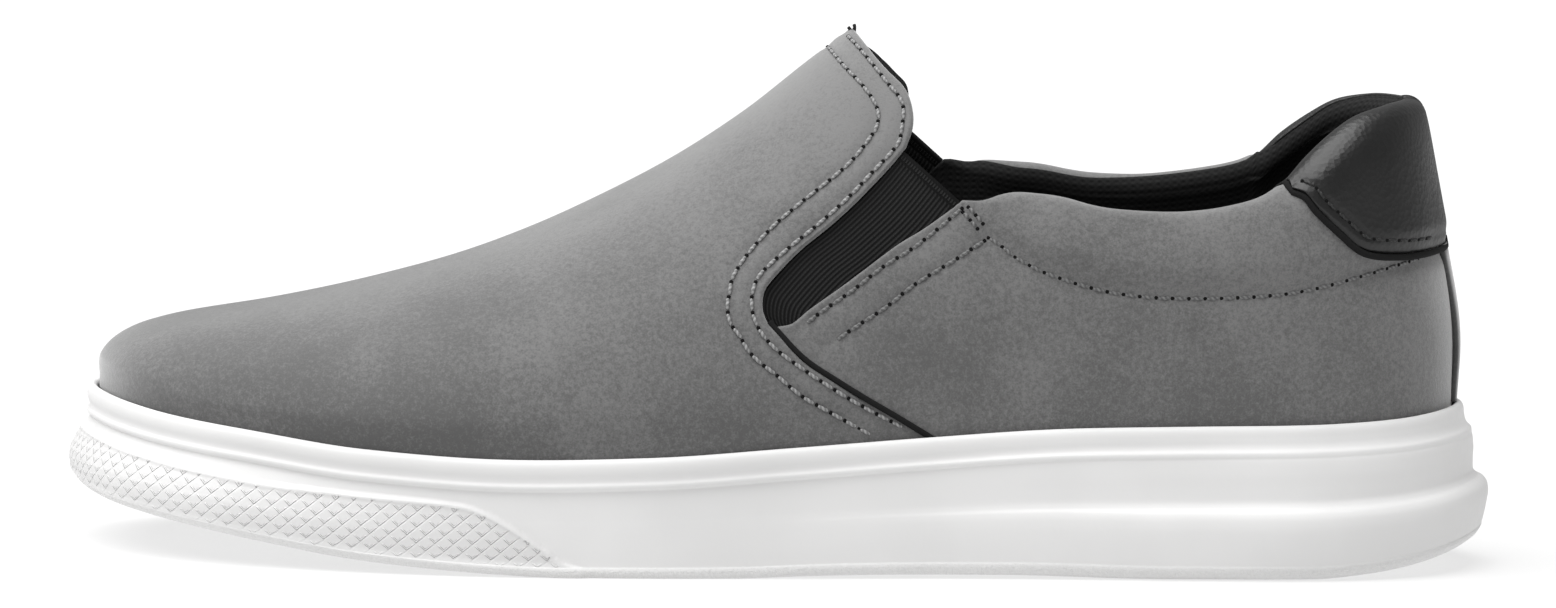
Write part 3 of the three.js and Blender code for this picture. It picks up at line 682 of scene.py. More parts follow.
# Side of the sole from the inside of the lip to the underside, as in the model but finer.
# out in band widths, drop in band heights below the lip, fall in shares of the wall below the band
soleProfile = table("at out drop fall toe heel", [
    (0, 0.12, 0.2, 0, 0, 0), (1, 0.14, 0.02, 0, 0, 0), (2, 0.3, -0.1, 0, 0, 0), (3, 0.55, -0.15, 0, 0, 0),
    (4, 0.8, -0.09, 0, 0, 0), (5, 0.97, 0.05, 0, 0, 0), (6, 1.02, 0.22, 0, 0, 0), (7, 0.97, 0.38, 0, 0, 0.05),
    (8, 0.87, 0.5, 0, 0, 0.12), (9, 0.83, 0.6, 0, 0, 0.18), (10, 0.87, 0.7, 0, 0, 0.23),
    (11, 0.98, 0.77, 0, 0, 0.27), (12, 1.03, 0.83, 0, 0, 0.3), (13, 1.0, 0.91, 0, 0, 0.33),
    (14, 0.86, 0.97, 0, 0.02, 0.4), (15, 0.7, 1.0, 0.01, 0.05, 0.48), (16, 0.68, 1, 0.06, 0.14, 0.54),
    (17, 0.7, 1, 0.14, 0.3, 0.56), (18, 0.74, 1, 0.24, 0.48, 0.53), (19, 0.78, 1, 0.34, 0.65, 0.52),
    (20, 0.82, 1, 0.4, 0.74, 0.66), (21, 0.84, 1, 0.44, 0.79, 0.92), (22, 0.87, 1, 0.5, 0.86, 1.06),
    (23, 0.9, 1, 0.57, 0.93, 1.09), (24, 0.95, 1, 0.7, 0.95, 1.0), (25, 0.98, 1, 0.84, 0.86, 0.87),
    (26, 1.0, 1, 0.875, 0.78, 0.82), (27, 1.05, 1, 0.89, 0.72, 0.8), (28, 1.06, 1, 0.95, 0.46, 0.64),
    (29, 0.95, 1, 0.985, 0.15, 0.35), (30, 0.6, 1, 1.0, 0, 0.1), (31, 0.2, 1, 1.0, 0, 0),
])

# Upper edge of the diamonds on the toe guard: share of the wall below the band
guardEdge = table("at fall", [
    (-0.03, 0.1), (0.05, 0.17), (0.127, 0.2), (0.18, 0.15), (0.237, 0.14), (0.266, 0.16), (0.284, 0.24),
    (0.304, 0.41), (0.324, 0.63), (0.342, 0.82), (0.36, 0.9),
])


def perimeter(s, side, extra):
    return np.stack(planPoint(s, side, extra), -1)


def soleLoops():
    # Columns round the sole: toe to heel on the outer side and back on the inner side
    fine = np.linspace(0, 0.475, sole["toeColumns"] // 2, endpoint=False)
    rest = np.linspace(0.475, 1, sole["sideColumns"] // 2)
    s = np.concatenate([fine, rest])
    return np.concatenate([s, s[-2:0:-1]]), np.concatenate([-np.ones(len(s)), np.ones(len(s) - 2)])


def dressSole(material):
    # Each profile row stands off the outline of the upper. Its flow is the way round, the height, and where
    # the rubber is netted with diamond pits (above 0) or rough (below 0)
    s, side = soleLoops()
    steps = np.concatenate([np.arange(0, 15, 0.5), np.arange(15, 26, 0.22), np.arange(26, 31.01, 0.5)])
    names = ("out", "drop", "fall", "toe", "heel")
    out, drop, fall, toe, heel = (along(soleProfile, name, steps)[None] for name in names)
    at = around("at", s, 1)[:, None]
    toeShare = 1 - smoothStep(0.05, 0.37, at)
    heelShare = smoothStep(0.43, 0.98, at)
    stand = out * sole["bandWidth"] + toe * sole["toeBumper"] * toeShare + heel * sole["heelRib"] * heelShare
    x, y = planPoint(s[:, None], side[:, None], stand)
    lip = lipAt(at)
    top = lip - drop * sole["bandHeight"]
    ground = groundAt(placeOf(x))
    z = top + (ground - top) * fall
    walk = perimeter(s, side, 4.0)
    run = np.concatenate([[0], np.cumsum(np.hypot(*np.diff(walk, axis=0).T))])
    half = run[np.argmax(s)]
    arc = np.where(side < 0, run, 2 * half - run)[:, None] * side[:, None]
    edge = along(guardEdge, "fall", at)
    inside = smoothStep(edge, edge + 0.03, fall) * smoothStep(0.36, 0.35, at)
    netted = smoothStep(edge + 0.06, edge + 0.09, fall) * smoothStep(0.9, 0.86, fall)
    fade = smoothStep(0.86, 0.74, fall)
    rough = smoothStep(0.86, 0.92, fall) * smoothStep(31.0, 29.0, steps)
    relief = inside * (sole["guardStep"] - netted * sole["netSink"] * smoothStep(0.9, 0.8, fall))
    x, y = planPoint(s[:, None], side[:, None], stand + relief)
    wall = np.stack([x, y, z], -1)
    flow = np.stack([arc + 0 * z, z + 0 * arc, inside * netted * (0.3 + 0.7 * fade) - rough], -1)

    def ring(grow, height):
        rx, ry = planPoint(s, side, grow)
        return np.stack([rx, ry, height(placeOf(rx)) + np.zeros(len(s))], -1)[:, None]

    def spine(height):
        crown = around("crown", s, 1)
        return np.stack([alongX(crown), centreAt(crown), height(crown)], -1)[:, None]

    def cupFloor(place):
        return lipAt(place) - sole["cupDepth"]

    def recess(place):
        return groundAt(place) + sole["treadRecess"]

    margin = -sole["treadMargin"]
    rows = [spine(cupFloor), ring(sole["clearance"], cupFloor), wall, ring(margin * 0.5, groundAt),
            ring(margin, groundAt), ring(margin, recess), spine(recess)]
    points = np.concatenate(rows, axis=1)
    marks = np.zeros(points.shape)
    marks[:, 2:2 + flow.shape[1]] = flow
    meshPiece("soleCup", points, material, "cupsole", wrapColumns=True, flow=marks)


tread = {"pitch": 13.0, "width": 2.4, "depth": 1.6, "bevel": 0.15}    # flex grooves


def dressTread(material):
    # Plate of the tread: chords across the foot, with flex grooves whose walls are nearly upright
    first = [alongX(0.1) + tread["pitch"] * k for k in range(9)]
    second = [alongX(0.68) + tread["pitch"] * k for k in range(6)]
    half, bevel = tread["width"] / 2, tread["bevel"]
    corners = (-half - bevel, -half + bevel, half - bevel, half + bevel)
    edges = np.array([middle + corner for middle in first + second for corner in corners])
    dense = np.linspace(0.001, 0.999, 2000)
    edgeS = np.interp(edges, planPoint(dense, -1, 0)[0], dense)
    s = np.sort(np.concatenate([np.linspace(0.02, 0.985, 130), edgeS]))
    lateral, medial = (perimeter(s, side, -sole["treadMargin"] - tread["bevel"])[:, None] for side in (-1, 1))
    w = np.linspace(0, 1, 24)[None, :, None]
    plan = lateral * (1 - w) + medial * w
    near = np.abs(plan[..., 0][..., None] - np.array(first + second)).min(axis=-1)
    ground = groundAt(placeOf(plan[..., 0]))
    low = ground + tread["depth"] * smoothStep(half + bevel, half - bevel, near)
    bottom = np.concatenate([plan, low[..., None]], -1)
    lid = np.concatenate([plan, (ground + sole["treadRecess"] - 0.1)[..., None]], -1)[:, ::-1]
    meshPiece("treadPlate", np.concatenate([bottom, lid], axis=1), material, "cupsole",
              wrapRows=True, caps=True)


frontPanel = {
    "step": 0.9,            # stands this far out of the quarters
    "thickness": 2.0,
    "columns": 200,
    "rows": 64,
    "edgeRows": 56,         # finer rows near the rear edge, for its seams
    "edgeShare": 0.16,
    "stitchDepth": 0.35,
    "stitchWidth": 1.3,
    "lipReach": 0.12,       # share of the height over which it swells out of the sole's lip
    "toeReach": 0.1,        # more of it round the toe
    "liningPast": 0.0068,   # the textile peeps out behind the flap, as a share of the way round
}

# Soft bulges of the front panel that the eye picks out in its shading, on the outer and the inner side
bulges = table("x z long high rise side", [
    (-82, 30, 22, 9, 0.9, -1), (-116, 42, 18, 8, 0.6, -1), (-35, 52, 26, 12, 0.5, -1),
    (-74, 32, 24, 10, 0.8, 1), (-30, 50, 24, 14, 0.5, 1),
])


def faceOfPanel(s, t, side):
    # Skin of the front panel: a step above the quarters, pressed in along its two rows of stitches,
    # with each bulge a bell of the distance from its middle
    plain = lastPoint(s, t, side)
    x, z = plain[..., 0], plain[..., 2]
    soft = frontPanel["lipReach"] + frontPanel["toeReach"] * smoothStep(0.2, 0.08, s)
    rise = frontPanel["step"] * smoothStep(0.02, soft, t) + swell(plain)
    for line in ("edgeStitch", "innerStitch"):
        rise = rise + seamTrough(x, z, line, frontPanel["stitchDepth"], frontPanel["stitchWidth"])
    within = smoothStep(0.01, 0.1, t) * smoothStep(0.95, 0.6, t)
    for middleX, middleZ, length, height, lift, where in zip(*bulges.values()):
        away = ((x - middleX) / length) ** 2 + ((z - middleZ) / height) ** 2
        rise = rise + lift * np.exp(-away) * (side == where) * within
    return rise


def boundary(curves, side):
    # s and t along side-view curves, joined end to end, where they lie below the crown
    x = np.concatenate([c[0] for c in curves])
    z = np.concatenate([c[1] for c in curves])
    inside = z < crownAt(placeOf(x)) - 0.05
    return locate(x[inside], z[inside], side)


def rolledEdge(edge, before, normal, radius, count):
    # Half round from the outer skin to the inner one; edge is the last row, before the one ahead of it
    tangent = normalise(edge - before)
    normal = normalise(normal - tangent * np.sum(normal * tangent, -1, keepdims=True))
    centre = edge - normal * radius
    angle = np.linspace(0, np.pi, count + 2)[1:-1][None, :, None]
    return centre[:, None] + radius * (normal[:, None] * np.cos(angle) + tangent[:, None] * np.sin(angle))


def surfaceNormal(s, t, side, grow=0.0):
    # Cross product of the two directions on the last, turned away from its inside
    step = 0.004
    ds = lastPoint(np.clip(s + step, 0, 1), t, side, grow) - lastPoint(np.clip(s - step, 0, 1), t, side, grow)
    dt = lastPoint(s, np.clip(t + step, 0, 1), side, grow) - lastPoint(s, np.clip(t - step, 0, 1), side, grow)
    normal = normalise(np.cross(ds, dt))
    point = lastPoint(s, t, side, grow)
    x = point[..., 0]
    core = np.stack([x * 0.8, centreAt(placeOf(x)), np.full(x.shape, 45.0)], -1)    # well inside the foot
    return normal * np.sign(np.sum(normal * (point - core), -1, keepdims=True))


def panelEdgeAt(t, side):
    # s of the panel's rear edge at each t, less the room that the rolled edge takes
    curves = [sideCurve(throatEdge, last["instepHeight"]), sideCurve(flapSide, last["instepHeight"]),
              sideCurve(panelSeam, last["instepHeight"])]
    s, tt = boundary(curves, side)
    order = np.argsort(tt)
    edge = np.interp(t, tt[order], s[order])
    speed = np.linalg.norm(lastPoint(edge, t, side) - lastPoint(edge - 0.004, t, side), axis=-1) / 0.004
    return edge - frontPanel["thickness"] / 2 / speed


def skirt(foot):
    # Rows straight down from the foot of a lining, to below the top of the footbed
    drop = np.array([2.0, 4.5, 8.0])[None, :, None] * np.array([0.0, 0.0, 1.0])
    return foot[:, None] - drop


def dressFrontPanel(material, liningMaterial):
    # Columns go over the foot from lip to lip, rows from the toe to the rear edge, over it and back inside
    v = np.linspace(-1, 1, frontPanel["columns"] + 1)
    side = np.where(v < 0, -1.0, 1.0)
    t = 1 - np.abs(v)
    edge = np.where(v < 0, panelEdgeAt(t, -1.0), panelEdgeAt(t, 1.0))
    share = 1 - frontPanel["edgeShare"]
    u = np.concatenate([np.linspace(0, share, frontPanel["rows"], endpoint=False),
                        np.linspace(share, 1, frontPanel["edgeRows"])])
    s = edge[:, None] * u[None]
    t, side = t[:, None] + 0 * s, side[:, None] + 0 * s
    rise = faceOfPanel(s, t, side)
    outer = lastPoint(s, t, side, rise)
    skin = rise - frontPanel["thickness"] * smoothStep(-0.01, 0.05, t)
    inner = lastPoint(s, t, side, np.minimum(skin, rise - 0.6))
    normal = surfaceNormal(s[:, -1], t[:, -1], side[:, -1])
    roll = rolledEdge(outer[:, -1], outer[:, -3], normal, frontPanel["thickness"] / 2, 8)
    points = np.concatenate([outer, roll, inner[:, ::-1]], axis=1)
    meshPiece("frontPanel", points, material, "upper", caps=True)
    # Textile lining under it, seen through the throat, with a skirt at both of its ends
    past = frontPanel["liningPast"] * smoothStep(0.54, 0.66, t) * smoothStep(1.02, 0.72, t) * u[None] ** 8
    lined = lastPoint(s + past, t, side, skin - 0.15)[:, 2::3]
    backed = lastPoint(s + past, t, side, skin - 0.8)[:, 2::3]
    lined, backed = (np.concatenate([skirt(sheet[0])[:, ::-1].swapaxes(0, 1), sheet,
                                     skirt(sheet[-1]).swapaxes(0, 1)]) for sheet in (lined, backed))
    points = np.concatenate([lined, backed[:, ::-1]], axis=1)
    meshPiece("frontLining", points, liningMaterial, "upper", caps=True, flow=flowOf(points))


def quarterTopAt(s, side):
    # t of the quarter's upper edge: along the gore, then the collar, which is lower under the heel tab
    x1, z1 = sideCurve(quarterEdge, last["instepHeight"])
    x2, z2 = sideCurve(collarEdge, last["heelHeight"])
    z2 = z2 - tab["thickness"] * smoothStep(tab["front"], tab["front"] + 2.0, x2)
    z2 = z2 + 0.6 * roundingIn(placeOf(x2), 0.0)
    s1, t1 = risen(x1, z1, side)
    s2, t2 = risen(x2[1:], z2[1:], side)
    allS, allT = np.concatenate([s1, s2]), np.concatenate([t1, t2])
    order = np.argsort(allS)
    return np.interp(s, allS[order], allT[order])


def collarTop(s, side):
    # Where the skin ends and the round top begins, and how big that round is
    top = np.where(side < 0, quarterTopAt(s, -1.0), quarterTopAt(s, 1.0))
    x = lastPoint(s, top, side)[..., 0]
    thin, thick = quarter["edgeRadius"], quarter["collarRadius"]
    radius = thin + (thick - thin) * smoothStep(34.0, 46.0, x)
    speed = np.linalg.norm(lastPoint(s, top, side) - lastPoint(s, top - 0.01, side), axis=-1) / 0.01
    return top - radius / speed, radius


def quarterGrid(columns, rows):
    # Columns round the heel from the front end of one quarter to that of the other, rows up to the top edge
    way = np.linspace(-1, 1, 2 * columns + 1)
    side = np.where(way < 0, -1.0, 1.0)
    s = 1 - (1 - quarter["front"]) * np.abs(way)
    end, radius = collarTop(s, side)
    t = end[:, None] * np.linspace(0, 1, rows)[None] ** 0.9
    return s[:, None] + 0 * t, t, side[:, None] + 0 * t, radius


def faceOfQuarter(s, t, side):
    # Skin of the quarters: the swell of heel and collar, pressed in along three rows of stitches
    plain = lastPoint(s, t, side)
    x, z = plain[..., 0], plain[..., 2]
    rise = swell(plain) * np.minimum(1, 6 * t)
    for line in ("goreStitch", "secondGoreStitch"):
        rise = rise + seamTrough(x, z, line, quarter["goreDepth"], quarter["goreWidth"])
    return rise + seamTrough(x, z, "collarStitch", quarter["collarDepth"], quarter["collarWidth"])


def collarRoll(s, t, side, radius, extra, count, first=0.0, final=np.pi):
    # Skin of the collar's round top, raised by extra, between two angles counted from its outer face
    edge = lastPoint(s, t, side, faceOfQuarter(s, t, side))
    before = lastPoint(s, t - 0.01, side, faceOfQuarter(s, t - 0.01, side))
    normal = surfaceNormal(s, t, side)
    tangent = normalise(edge - before)
    normal = normalise(normal - tangent * np.sum(normal * tangent, -1, keepdims=True))
    centre = edge - normal * radius[:, None]
    angle = (first + (final - first) * np.linspace(0, 1, count)[:, None]).T + np.zeros((len(s), 1))
    angle = angle[..., None]
    reach = (radius + extra)[:, None, None]
    return centre[:, None] + reach * (normal[:, None] * np.cos(angle) + tangent[:, None] * np.sin(angle))


def paddedDepth(s, t, side, radius):
    # Thickness of leather and foam below the collar's round top: thins out below the collar's seam
    plain = lastPoint(s, t, side)
    above = plain[..., 2] - np.interp(plain[..., 0], *seamLines["collarStitch"])
    full = smoothStep(-16.0, 6.0, above)
    thin = 2 * quarter["edgeRadius"]
    return thin + (2 * radius[:, None] - thin) * full


def dressQuarters(material):
    # Outer skin, the collar's round top and the inner wall, as one sheet that is open at the foot
    s, t, side, radius = quarterGrid(quarter["columns"], quarter["rows"])
    rise = faceOfQuarter(s, t, side)
    outer = lastPoint(s, t, side, rise)
    inner = lastPoint(s, t, side, rise - paddedDepth(s, t, side, radius))
    roll = collarRoll(s[:, -1], t[:, -1], side[:, -1], radius, 0.0, 14)[:, 1:-1]
    points = np.concatenate([outer, roll, inner[:, ::-1]], axis=1)
    meshPiece("quarters", points, material, "upper", caps=True)


lining = {
    "proud": 0.3,
    "thickness": 0.5,
    "rowPitch": 1.35,
    "loopPitch": 1.8,
    "startAngle": 1.75,     # how far over the collar's round top it begins
    "underTab": 1.45,
    "alongGore": 2.95,
    "leatherShows": 0.3,    # it begins this much further over the inner side of the collar's front
    "columns": 170,
    "rows": 60,
}


def dressCollarLining(material):
    # Starts past the top of the collar's roll and goes down inside past the edge of the footbed
    s, t, side, radius = quarterGrid(lining["columns"], lining["rows"])
    depth = faceOfQuarter(s, t, side) - paddedDepth(s, t, side, radius)
    topS, topT, topSide = s[:, -1], t[:, -1], side[:, -1]
    x = lastPoint(topS, topT, topSide)[:, 0]
    shows = (topSide > 0) * smoothStep(38.0, 52.0, x) * smoothStep(80.0, 62.0, x) * lining["leatherShows"]
    behind = smoothStep(tab["front"], tab["front"] + 1.0, x)
    ahead = smoothStep(38.0, 30.0, x)    # along the gore it lies inside the leather's edge
    first = lining["startAngle"] + shows + (lining["underTab"] - lining["startAngle"]) * behind
    first = first + (lining["alongGore"] - first) * ahead
    lift = lining["proud"] + 0.5 * behind + 0.35 * ahead

    def layer(extra):
        roll = collarRoll(topS, topT, topSide, radius, extra, 18, first)[:, :-1]
        down = lastPoint(s, t, side, depth - extra[:, None])[:, ::-1]
        return np.concatenate([roll, down, skirt(down[:, -1])], axis=1)

    outer = layer(lift)
    points = np.concatenate([outer, layer(lift - lining["thickness"])[:, ::-1]], axis=1)
    piece = meshPiece("collarLining", points, material, "upper", wrapRows=True, caps=True,
                      flow=flowOf(points))


gore = {
    "ribPitch": 0.9,
    "pickPitch": 0.8,
    "knitPitch": 0.7,
    "below": 0.7,           # the elastic lies this far inside the skin of the last
    "bandProud": 0.3,
    "bandWidth": 2.2,
    "thickness": 1.1,
    "lap": 4.0,             # it goes on this far under the leather on both sides
    "innerClimb": 5.0,      # the inner gore is this much taller at its top
}


def dressGore(name, node, side, material):
    # Ruled sheet from the flap's side to the quarter's edge, from its front end to its top;
    # both lines are spread apart by the lap, and a knitted band stands up along the top
    count = 120
    front = np.stack(sideCurve(flapSide, last["instepHeight"], count), -1)[::-1]
    x, z = sideCurve(quarterEdge, last["instepHeight"], 160)
    run = np.linspace(np.searchsorted(x, alongX(0.4875)), len(x) - 1, count)
    back = np.stack([np.interp(run, np.arange(len(x)), x), np.interp(run, np.arange(len(x)), z)], -1)
    if side > 0:
        back[:, 1] += along(innerRise, "rise", placeOf(back[:, 0]))
        front[:, 1] += gore["innerClimb"] * np.linspace(0, 1, count) ** 2
    across = normalise(back - front)
    across[:12] = across[12]
    w = np.linspace(0, 1, 60)[None, :, None]
    sheet = (front - across * gore["lap"])[:, None] * (1 - w) + (back + across * gore["lap"])[:, None] * w
    s, t = locate(sheet[..., 0], sheet[..., 1], side)
    fromTop = np.linalg.norm(np.diff(sheet[:, 30], axis=0), axis=-1)[::-1].cumsum()[::-1]
    band = smoothStep(gore["bandWidth"] + 0.2, gore["bandWidth"], np.append(fromTop, 0))[:, None] + 0 * s
    grow = gore["bandProud"] * band - gore["below"]
    outer = lastPoint(s, t, side, grow)
    inner = lastPoint(s, t, side, grow - gore["thickness"])
    flow = flowOf(outer)
    flow[..., 0] = flow[-1:, :1, 0] - flow[..., 0]
    meshPiece(name, np.concatenate([outer, inner[:, ::-1]], axis=1), material, node, wrapRows=True,
              caps=True, flow=np.concatenate([flow, flow[:, ::-1]], axis=1))


def dressHeelTab(material):
    # Ruled grid from the tab's lower edge to the top of the collar, then over its round as far as the crest
    line = sideCurve(tabEdge, last["heelHeight"])
    halves = []
    for side in (-1.0, 1.0):
        s, t = risen(line[0], line[1], side)
        end, _ = collarTop(s, side)
        below = (t < end - 0.004) & (s < 0.9998)
        halves.append((np.append(s[below], 1.0), np.append(t[below], t[-1])))
    count = tab["columns"] // 2
    k = np.linspace(0, 1, count + 1) ** 1.3
    lowS, lowT, topS = [], [], []
    for s, t in halves:
        run = np.concatenate([[0], np.cumsum(np.hypot(np.diff(s) * 160, np.diff(t) * 60))])
        lowS.append(np.interp(k, run / run[-1], s))
        lowT.append(np.interp(k, run / run[-1], t))
        topS.append(s[0] + (1 - s[0]) * k)
    lowS, lowT, topS = (np.concatenate([v[0], v[1][-2::-1]]) for v in (lowS, lowT, topS))
    side = np.where(np.arange(2 * count + 1) <= count, -1.0, 1.0)
    topT, radius = collarTop(topS, side)
    w = np.linspace(0, 1, tab["rows"])[None]
    s = lowS[:, None] + (topS - lowS)[:, None] * w
    t = lowT[:, None] + (topT - lowT)[:, None] * w
    sides = side[:, None] + 0 * s
    plain = lastPoint(s, t, sides)
    trough = seamTrough(plain[..., 0], plain[..., 2], "tabStitch", tab["stitchDepth"], tab["stitchWidth"])
    rise = swell(plain) + trough
    turned = 0.4 + 0.6 * smoothStep(0.0, 0.05, w)    # the lower edge is turned under
    number = np.arange(2 * count + 1)
    fromTip = np.minimum(number, 2 * count - number) / count
    thinned = np.where(side < 0, tab["outerTip"], tab["innerTip"])
    thinned = (thinned + (1 - thinned) * smoothStep(0.0, 0.15, fromTip))[:, None]

    def layer(extra):
        face = lastPoint(s, t, sides, rise + extra * (1 + (thinned - 1) * w) * turned)
        over = collarRoll(topS, topT, side, radius, extra * thinned[:, 0], 12, 0.0, tab["crest"])
        return np.concatenate([face, over[:, 1:]], axis=1)

    points = np.concatenate([layer(tab["thickness"]), layer(0.05)[:, ::-1]], axis=1)
    meshPiece("heelTab", points, material, "heel_tab", wrapRows=True, caps=True)
    return lowS, lowT, side


strip = {"thickness": 0.8, "halfTop": 9.0, "halfFoot": 6.5, "rows": 60, "columns": 41}


def dressBackStrip(material):
    # Strip over the back seam, wider at the top, its edges turned under
    z = np.linspace(lipAt(1.0) + 1.0, 0.672 * last["heelHeight"], strip["rows"])
    share = (z - z[0]) / (z[-1] - z[0])
    half = strip["halfFoot"] + (strip["halfTop"] - strip["halfFoot"]) * share
    across = np.linspace(-1, 1, strip["columns"])
    _, level = locate(np.full(len(z), 1e3), z, -1.0)
    heel = perimeter(np.array([0.99, 1.0]), 1.0, 0.0)
    speed = np.linalg.norm(heel[1] - heel[0]) / 0.01
    s = 1 - np.abs(across)[None] * half[:, None] / speed
    side = np.where(across < 0, -1.0, 1.0)[None] + 0 * s
    t = level[:, None] + 0 * s
    rise = swell(lastPoint(s, t, side))
    lift = strip["thickness"] * np.sqrt(np.clip(1 - np.abs(across) ** 10, 0, 1))[None]
    outer = lastPoint(s, t, side, rise + lift)
    inner = lastPoint(s, t, side, rise - 0.4)
    points = np.concatenate([outer, inner[:, ::-1]], axis=1)
    meshPiece("backSeamStrip", points, material, "back_seam_strip", wrapRows=True, caps=True)


def tube(path, radius, sides=10):
    # Ring of points round each point of a path, on two directions square to it
    forward = normalise(np.gradient(path, axis=0))
    sideways = normalise(np.cross(forward, np.array([0.3, 0.2, 1.0])))
    up = np.cross(sideways, forward)
    angle = np.linspace(0, 2 * np.pi, sides, endpoint=False)
    ring = sideways[:, None] * np.cos(angle)[None, :, None] + up[:, None] * np.sin(angle)[None, :, None]
    body = path[:, None] + ring * radius
    return np.concatenate([np.repeat(path[:1, None], sides, 1), body, np.repeat(path[-1:, None], sides, 1)])


thread = {"width": 0.38, "flat": 0.85, "pitch": 3.4, "barPitch": 2.3, "gap": 0.55, "sink": 0.3, "ply": 1.1}
# Needle holes are near-black drops: painted shade where the thread goes into the leather
needleHole = {"width": 0.4, "flat": 0.3, "length": 0.8, "sink": 0.0, "ply": 1.0}
lifts = {"panel": 0.3, "gore": 0.2, "collar": 0.08, "tab": 0.05}    # the rows' heights over the leather


def drops(name, path, normal, material, spec, start):
    # Long drops laid evenly along a path: six points round each ring, widths from a fourth-power round,
    # ends sunk into the leather; flow winds the two plies of the thread
    run = np.concatenate([[0], np.cumsum(np.linalg.norm(np.diff(path, axis=0), axis=-1))])
    count = int((run[-1] - start) / spec["pitch"])
    centres = start + np.arange(count) * spec["pitch"]

    def sample(values, where):
        return np.stack([np.interp(where, run, values[:, k]) for k in range(3)], -1)

    middle = sample(path, centres)
    forward = normalise(sample(path, centres + 0.5) - sample(path, centres - 0.5))
    up = normalise(sample(normal, centres))
    sideways = normalise(np.cross(forward, up))
    ring = np.linspace(0, 2 * np.pi, 6, endpoint=False)
    beads = np.linspace(-1, 1, 7)
    width = np.sqrt(np.clip(1 - np.abs(beads) ** 4, 0, 1)) * spec["width"]
    height = width * spec["flat"]
    lengthwise = beads * spec["length"] / 2
    sink = -spec["sink"] * beads ** 4
    local = (forward[:, None, None] * lengthwise[None, :, None, None]
             + sideways[:, None, None] * (width[:, None] * np.cos(ring))[None, ..., None]
             + up[:, None, None] * (sink[:, None] + height[:, None] * np.sin(ring))[None, ..., None])
    points = (middle[:, None, None] + local).reshape(-1, 3)
    rings, sides = len(beads), len(ring)
    base = np.arange(count)[:, None, None] * rings * sides
    i, j = np.meshgrid(np.arange(rings - 1), np.arange(sides), indexing="ij")
    k = (j + 1) % sides
    corners = [i * sides + j, (i + 1) * sides + j, (i + 1) * sides + k, i * sides + k]
    quads = np.stack(corners, -1).reshape(1, -1, 4) + base
    flow = np.zeros((count, rings, sides, 2))
    flow[..., 0] = (lengthwise / spec["ply"])[None, :, None]
    flow[..., 1] = (np.arange(sides) / sides)[None, None, :]
    meshFrom(name, points, quads.reshape(-1, 4), material, None, flow.reshape(-1, 2))


def seam(name, line, side, face, lift, strand, hole, pitch=None):
    # Strands with a needle hole at both ends of each, drawn as a dark drop of painted shade
    s, t = locate(line[0], line[1], side)
    sides = side + 0 * s
    grow = face(s, t, sides) + lift
    path, normal = lastPoint(s, t, sides, grow), surfaceNormal(s, t, sides)
    pitch = pitch or thread["pitch"]
    drops(name, path, normal, strand, {**thread, "pitch": pitch, "length": pitch - thread["gap"]}, pitch / 2)
    drops(name + "Holes", path - normal * 0.06, normal, hole, {**needleHole, "pitch": pitch}, 0.1)


def faceOfTab(s, t, side):
    # Skin of the heel tab: its thickness above the swell of the heel, pressed in along its stitches
    plain = lastPoint(s, t, side)
    trough = seamTrough(plain[..., 0], plain[..., 2], "tabStitch", tab["stitchDepth"], tab["stitchWidth"])
    return swell(plain) + tab["thickness"] + trough


def dressStitches(litStrand, strand, blackStrand, hole):
    # Every row of stitches on both sides of the shoe; the collar's and the tab's end at the back strip. The
    # front panel's rows get the lit copy of the grey thread and the quarters' rows its shaded copy: painted
    # light and shade
    for suffix, side in (("Outer", -1.0), ("Inner", 1.0)):
        for line in ("edgeStitch", "innerStitch"):
            seam(line + suffix, seamLines[line], side, faceOfPanel, lifts["panel"], litStrand, hole)
        for line in ("goreStitch", "secondGoreStitch"):
            seam(line + suffix, seamLines[line], side, faceOfQuarter, lifts["gore"], strand, hole)
        x, z = seamLines["collarStitch"]
        shown = placeOf(x) < 0.97
        row = x[shown], z[shown]
        seam("collarStitch" + suffix, row, side, faceOfQuarter, lifts["collar"], strand, hole)
        x, z = seamLines["tabStitch"]
        shown = (placeOf(x) > 0.865) & (placeOf(x) < 0.97)
        row = x[shown], z[shown]
        seam("tabStitch" + suffix, row, side, faceOfTab, lifts["tab"], blackStrand, hole)
        # Two short rows fasten the top of the gore
        for number in range(2):
            bar = shifted(sideCurve(goreBar, last["instepHeight"], 40), 1.5 * number - 0.75)
            name = "goreBar%d%s" % (number, suffix)
            seam(name, bar, side, faceOfQuarter, lifts["collar"], strand, hole, thread["barPitch"])


def dressThreadEnds(material):
    # A few threads left hanging at the top of the flap, where its edge seam ends
    s = panelEdgeAt(np.array([0.98]), -1.0)
    tip = lastPoint(s, 0.98, -1.0, frontPanel["step"])[0]
    turn = np.linspace(0, 1, 12)[:, None]
    reaches = [(0.3, 2.6), (-0.9, 2.0), (-0.4, 1.4), (0.6, 1.8)]    # towards the heel, and up
    for number, (run, up) in enumerate(reaches):
        path = tip + np.array([0.7, 0, -1.5]) + turn * np.array([run, 0.4 * number - 0.6, up])
        path = path + (turn - turn ** 2) * np.array([1.2 - 0.5 * number, 0, 0.4 * number])
        meshPiece("threadEnd%d" % number, tube(path, 0.36, 6), material, wrapRows=True)


piping = {"radius": 0.62, "out": 0.55, "up": 0.25, "lift": 0.25}    # where it lies off the panel's edge


def dressSeamPiping(material):
    # Dark fabric that peeps out under the front panel's edge where it lies on the quarter
    x, z = sideCurve(panelSeam, last["instepHeight"])
    for suffix, side in (("Outer", -1.0), ("Inner", 1.0)):
        s, t = locate(x + piping["out"], z + piping["up"], side)
        path = lastPoint(s, t, side, swell(lastPoint(s, t, side)) + piping["lift"])
        meshPiece("panelPiping" + suffix, tube(path, piping["radius"]), material, "upper",
                  wrapRows=True)


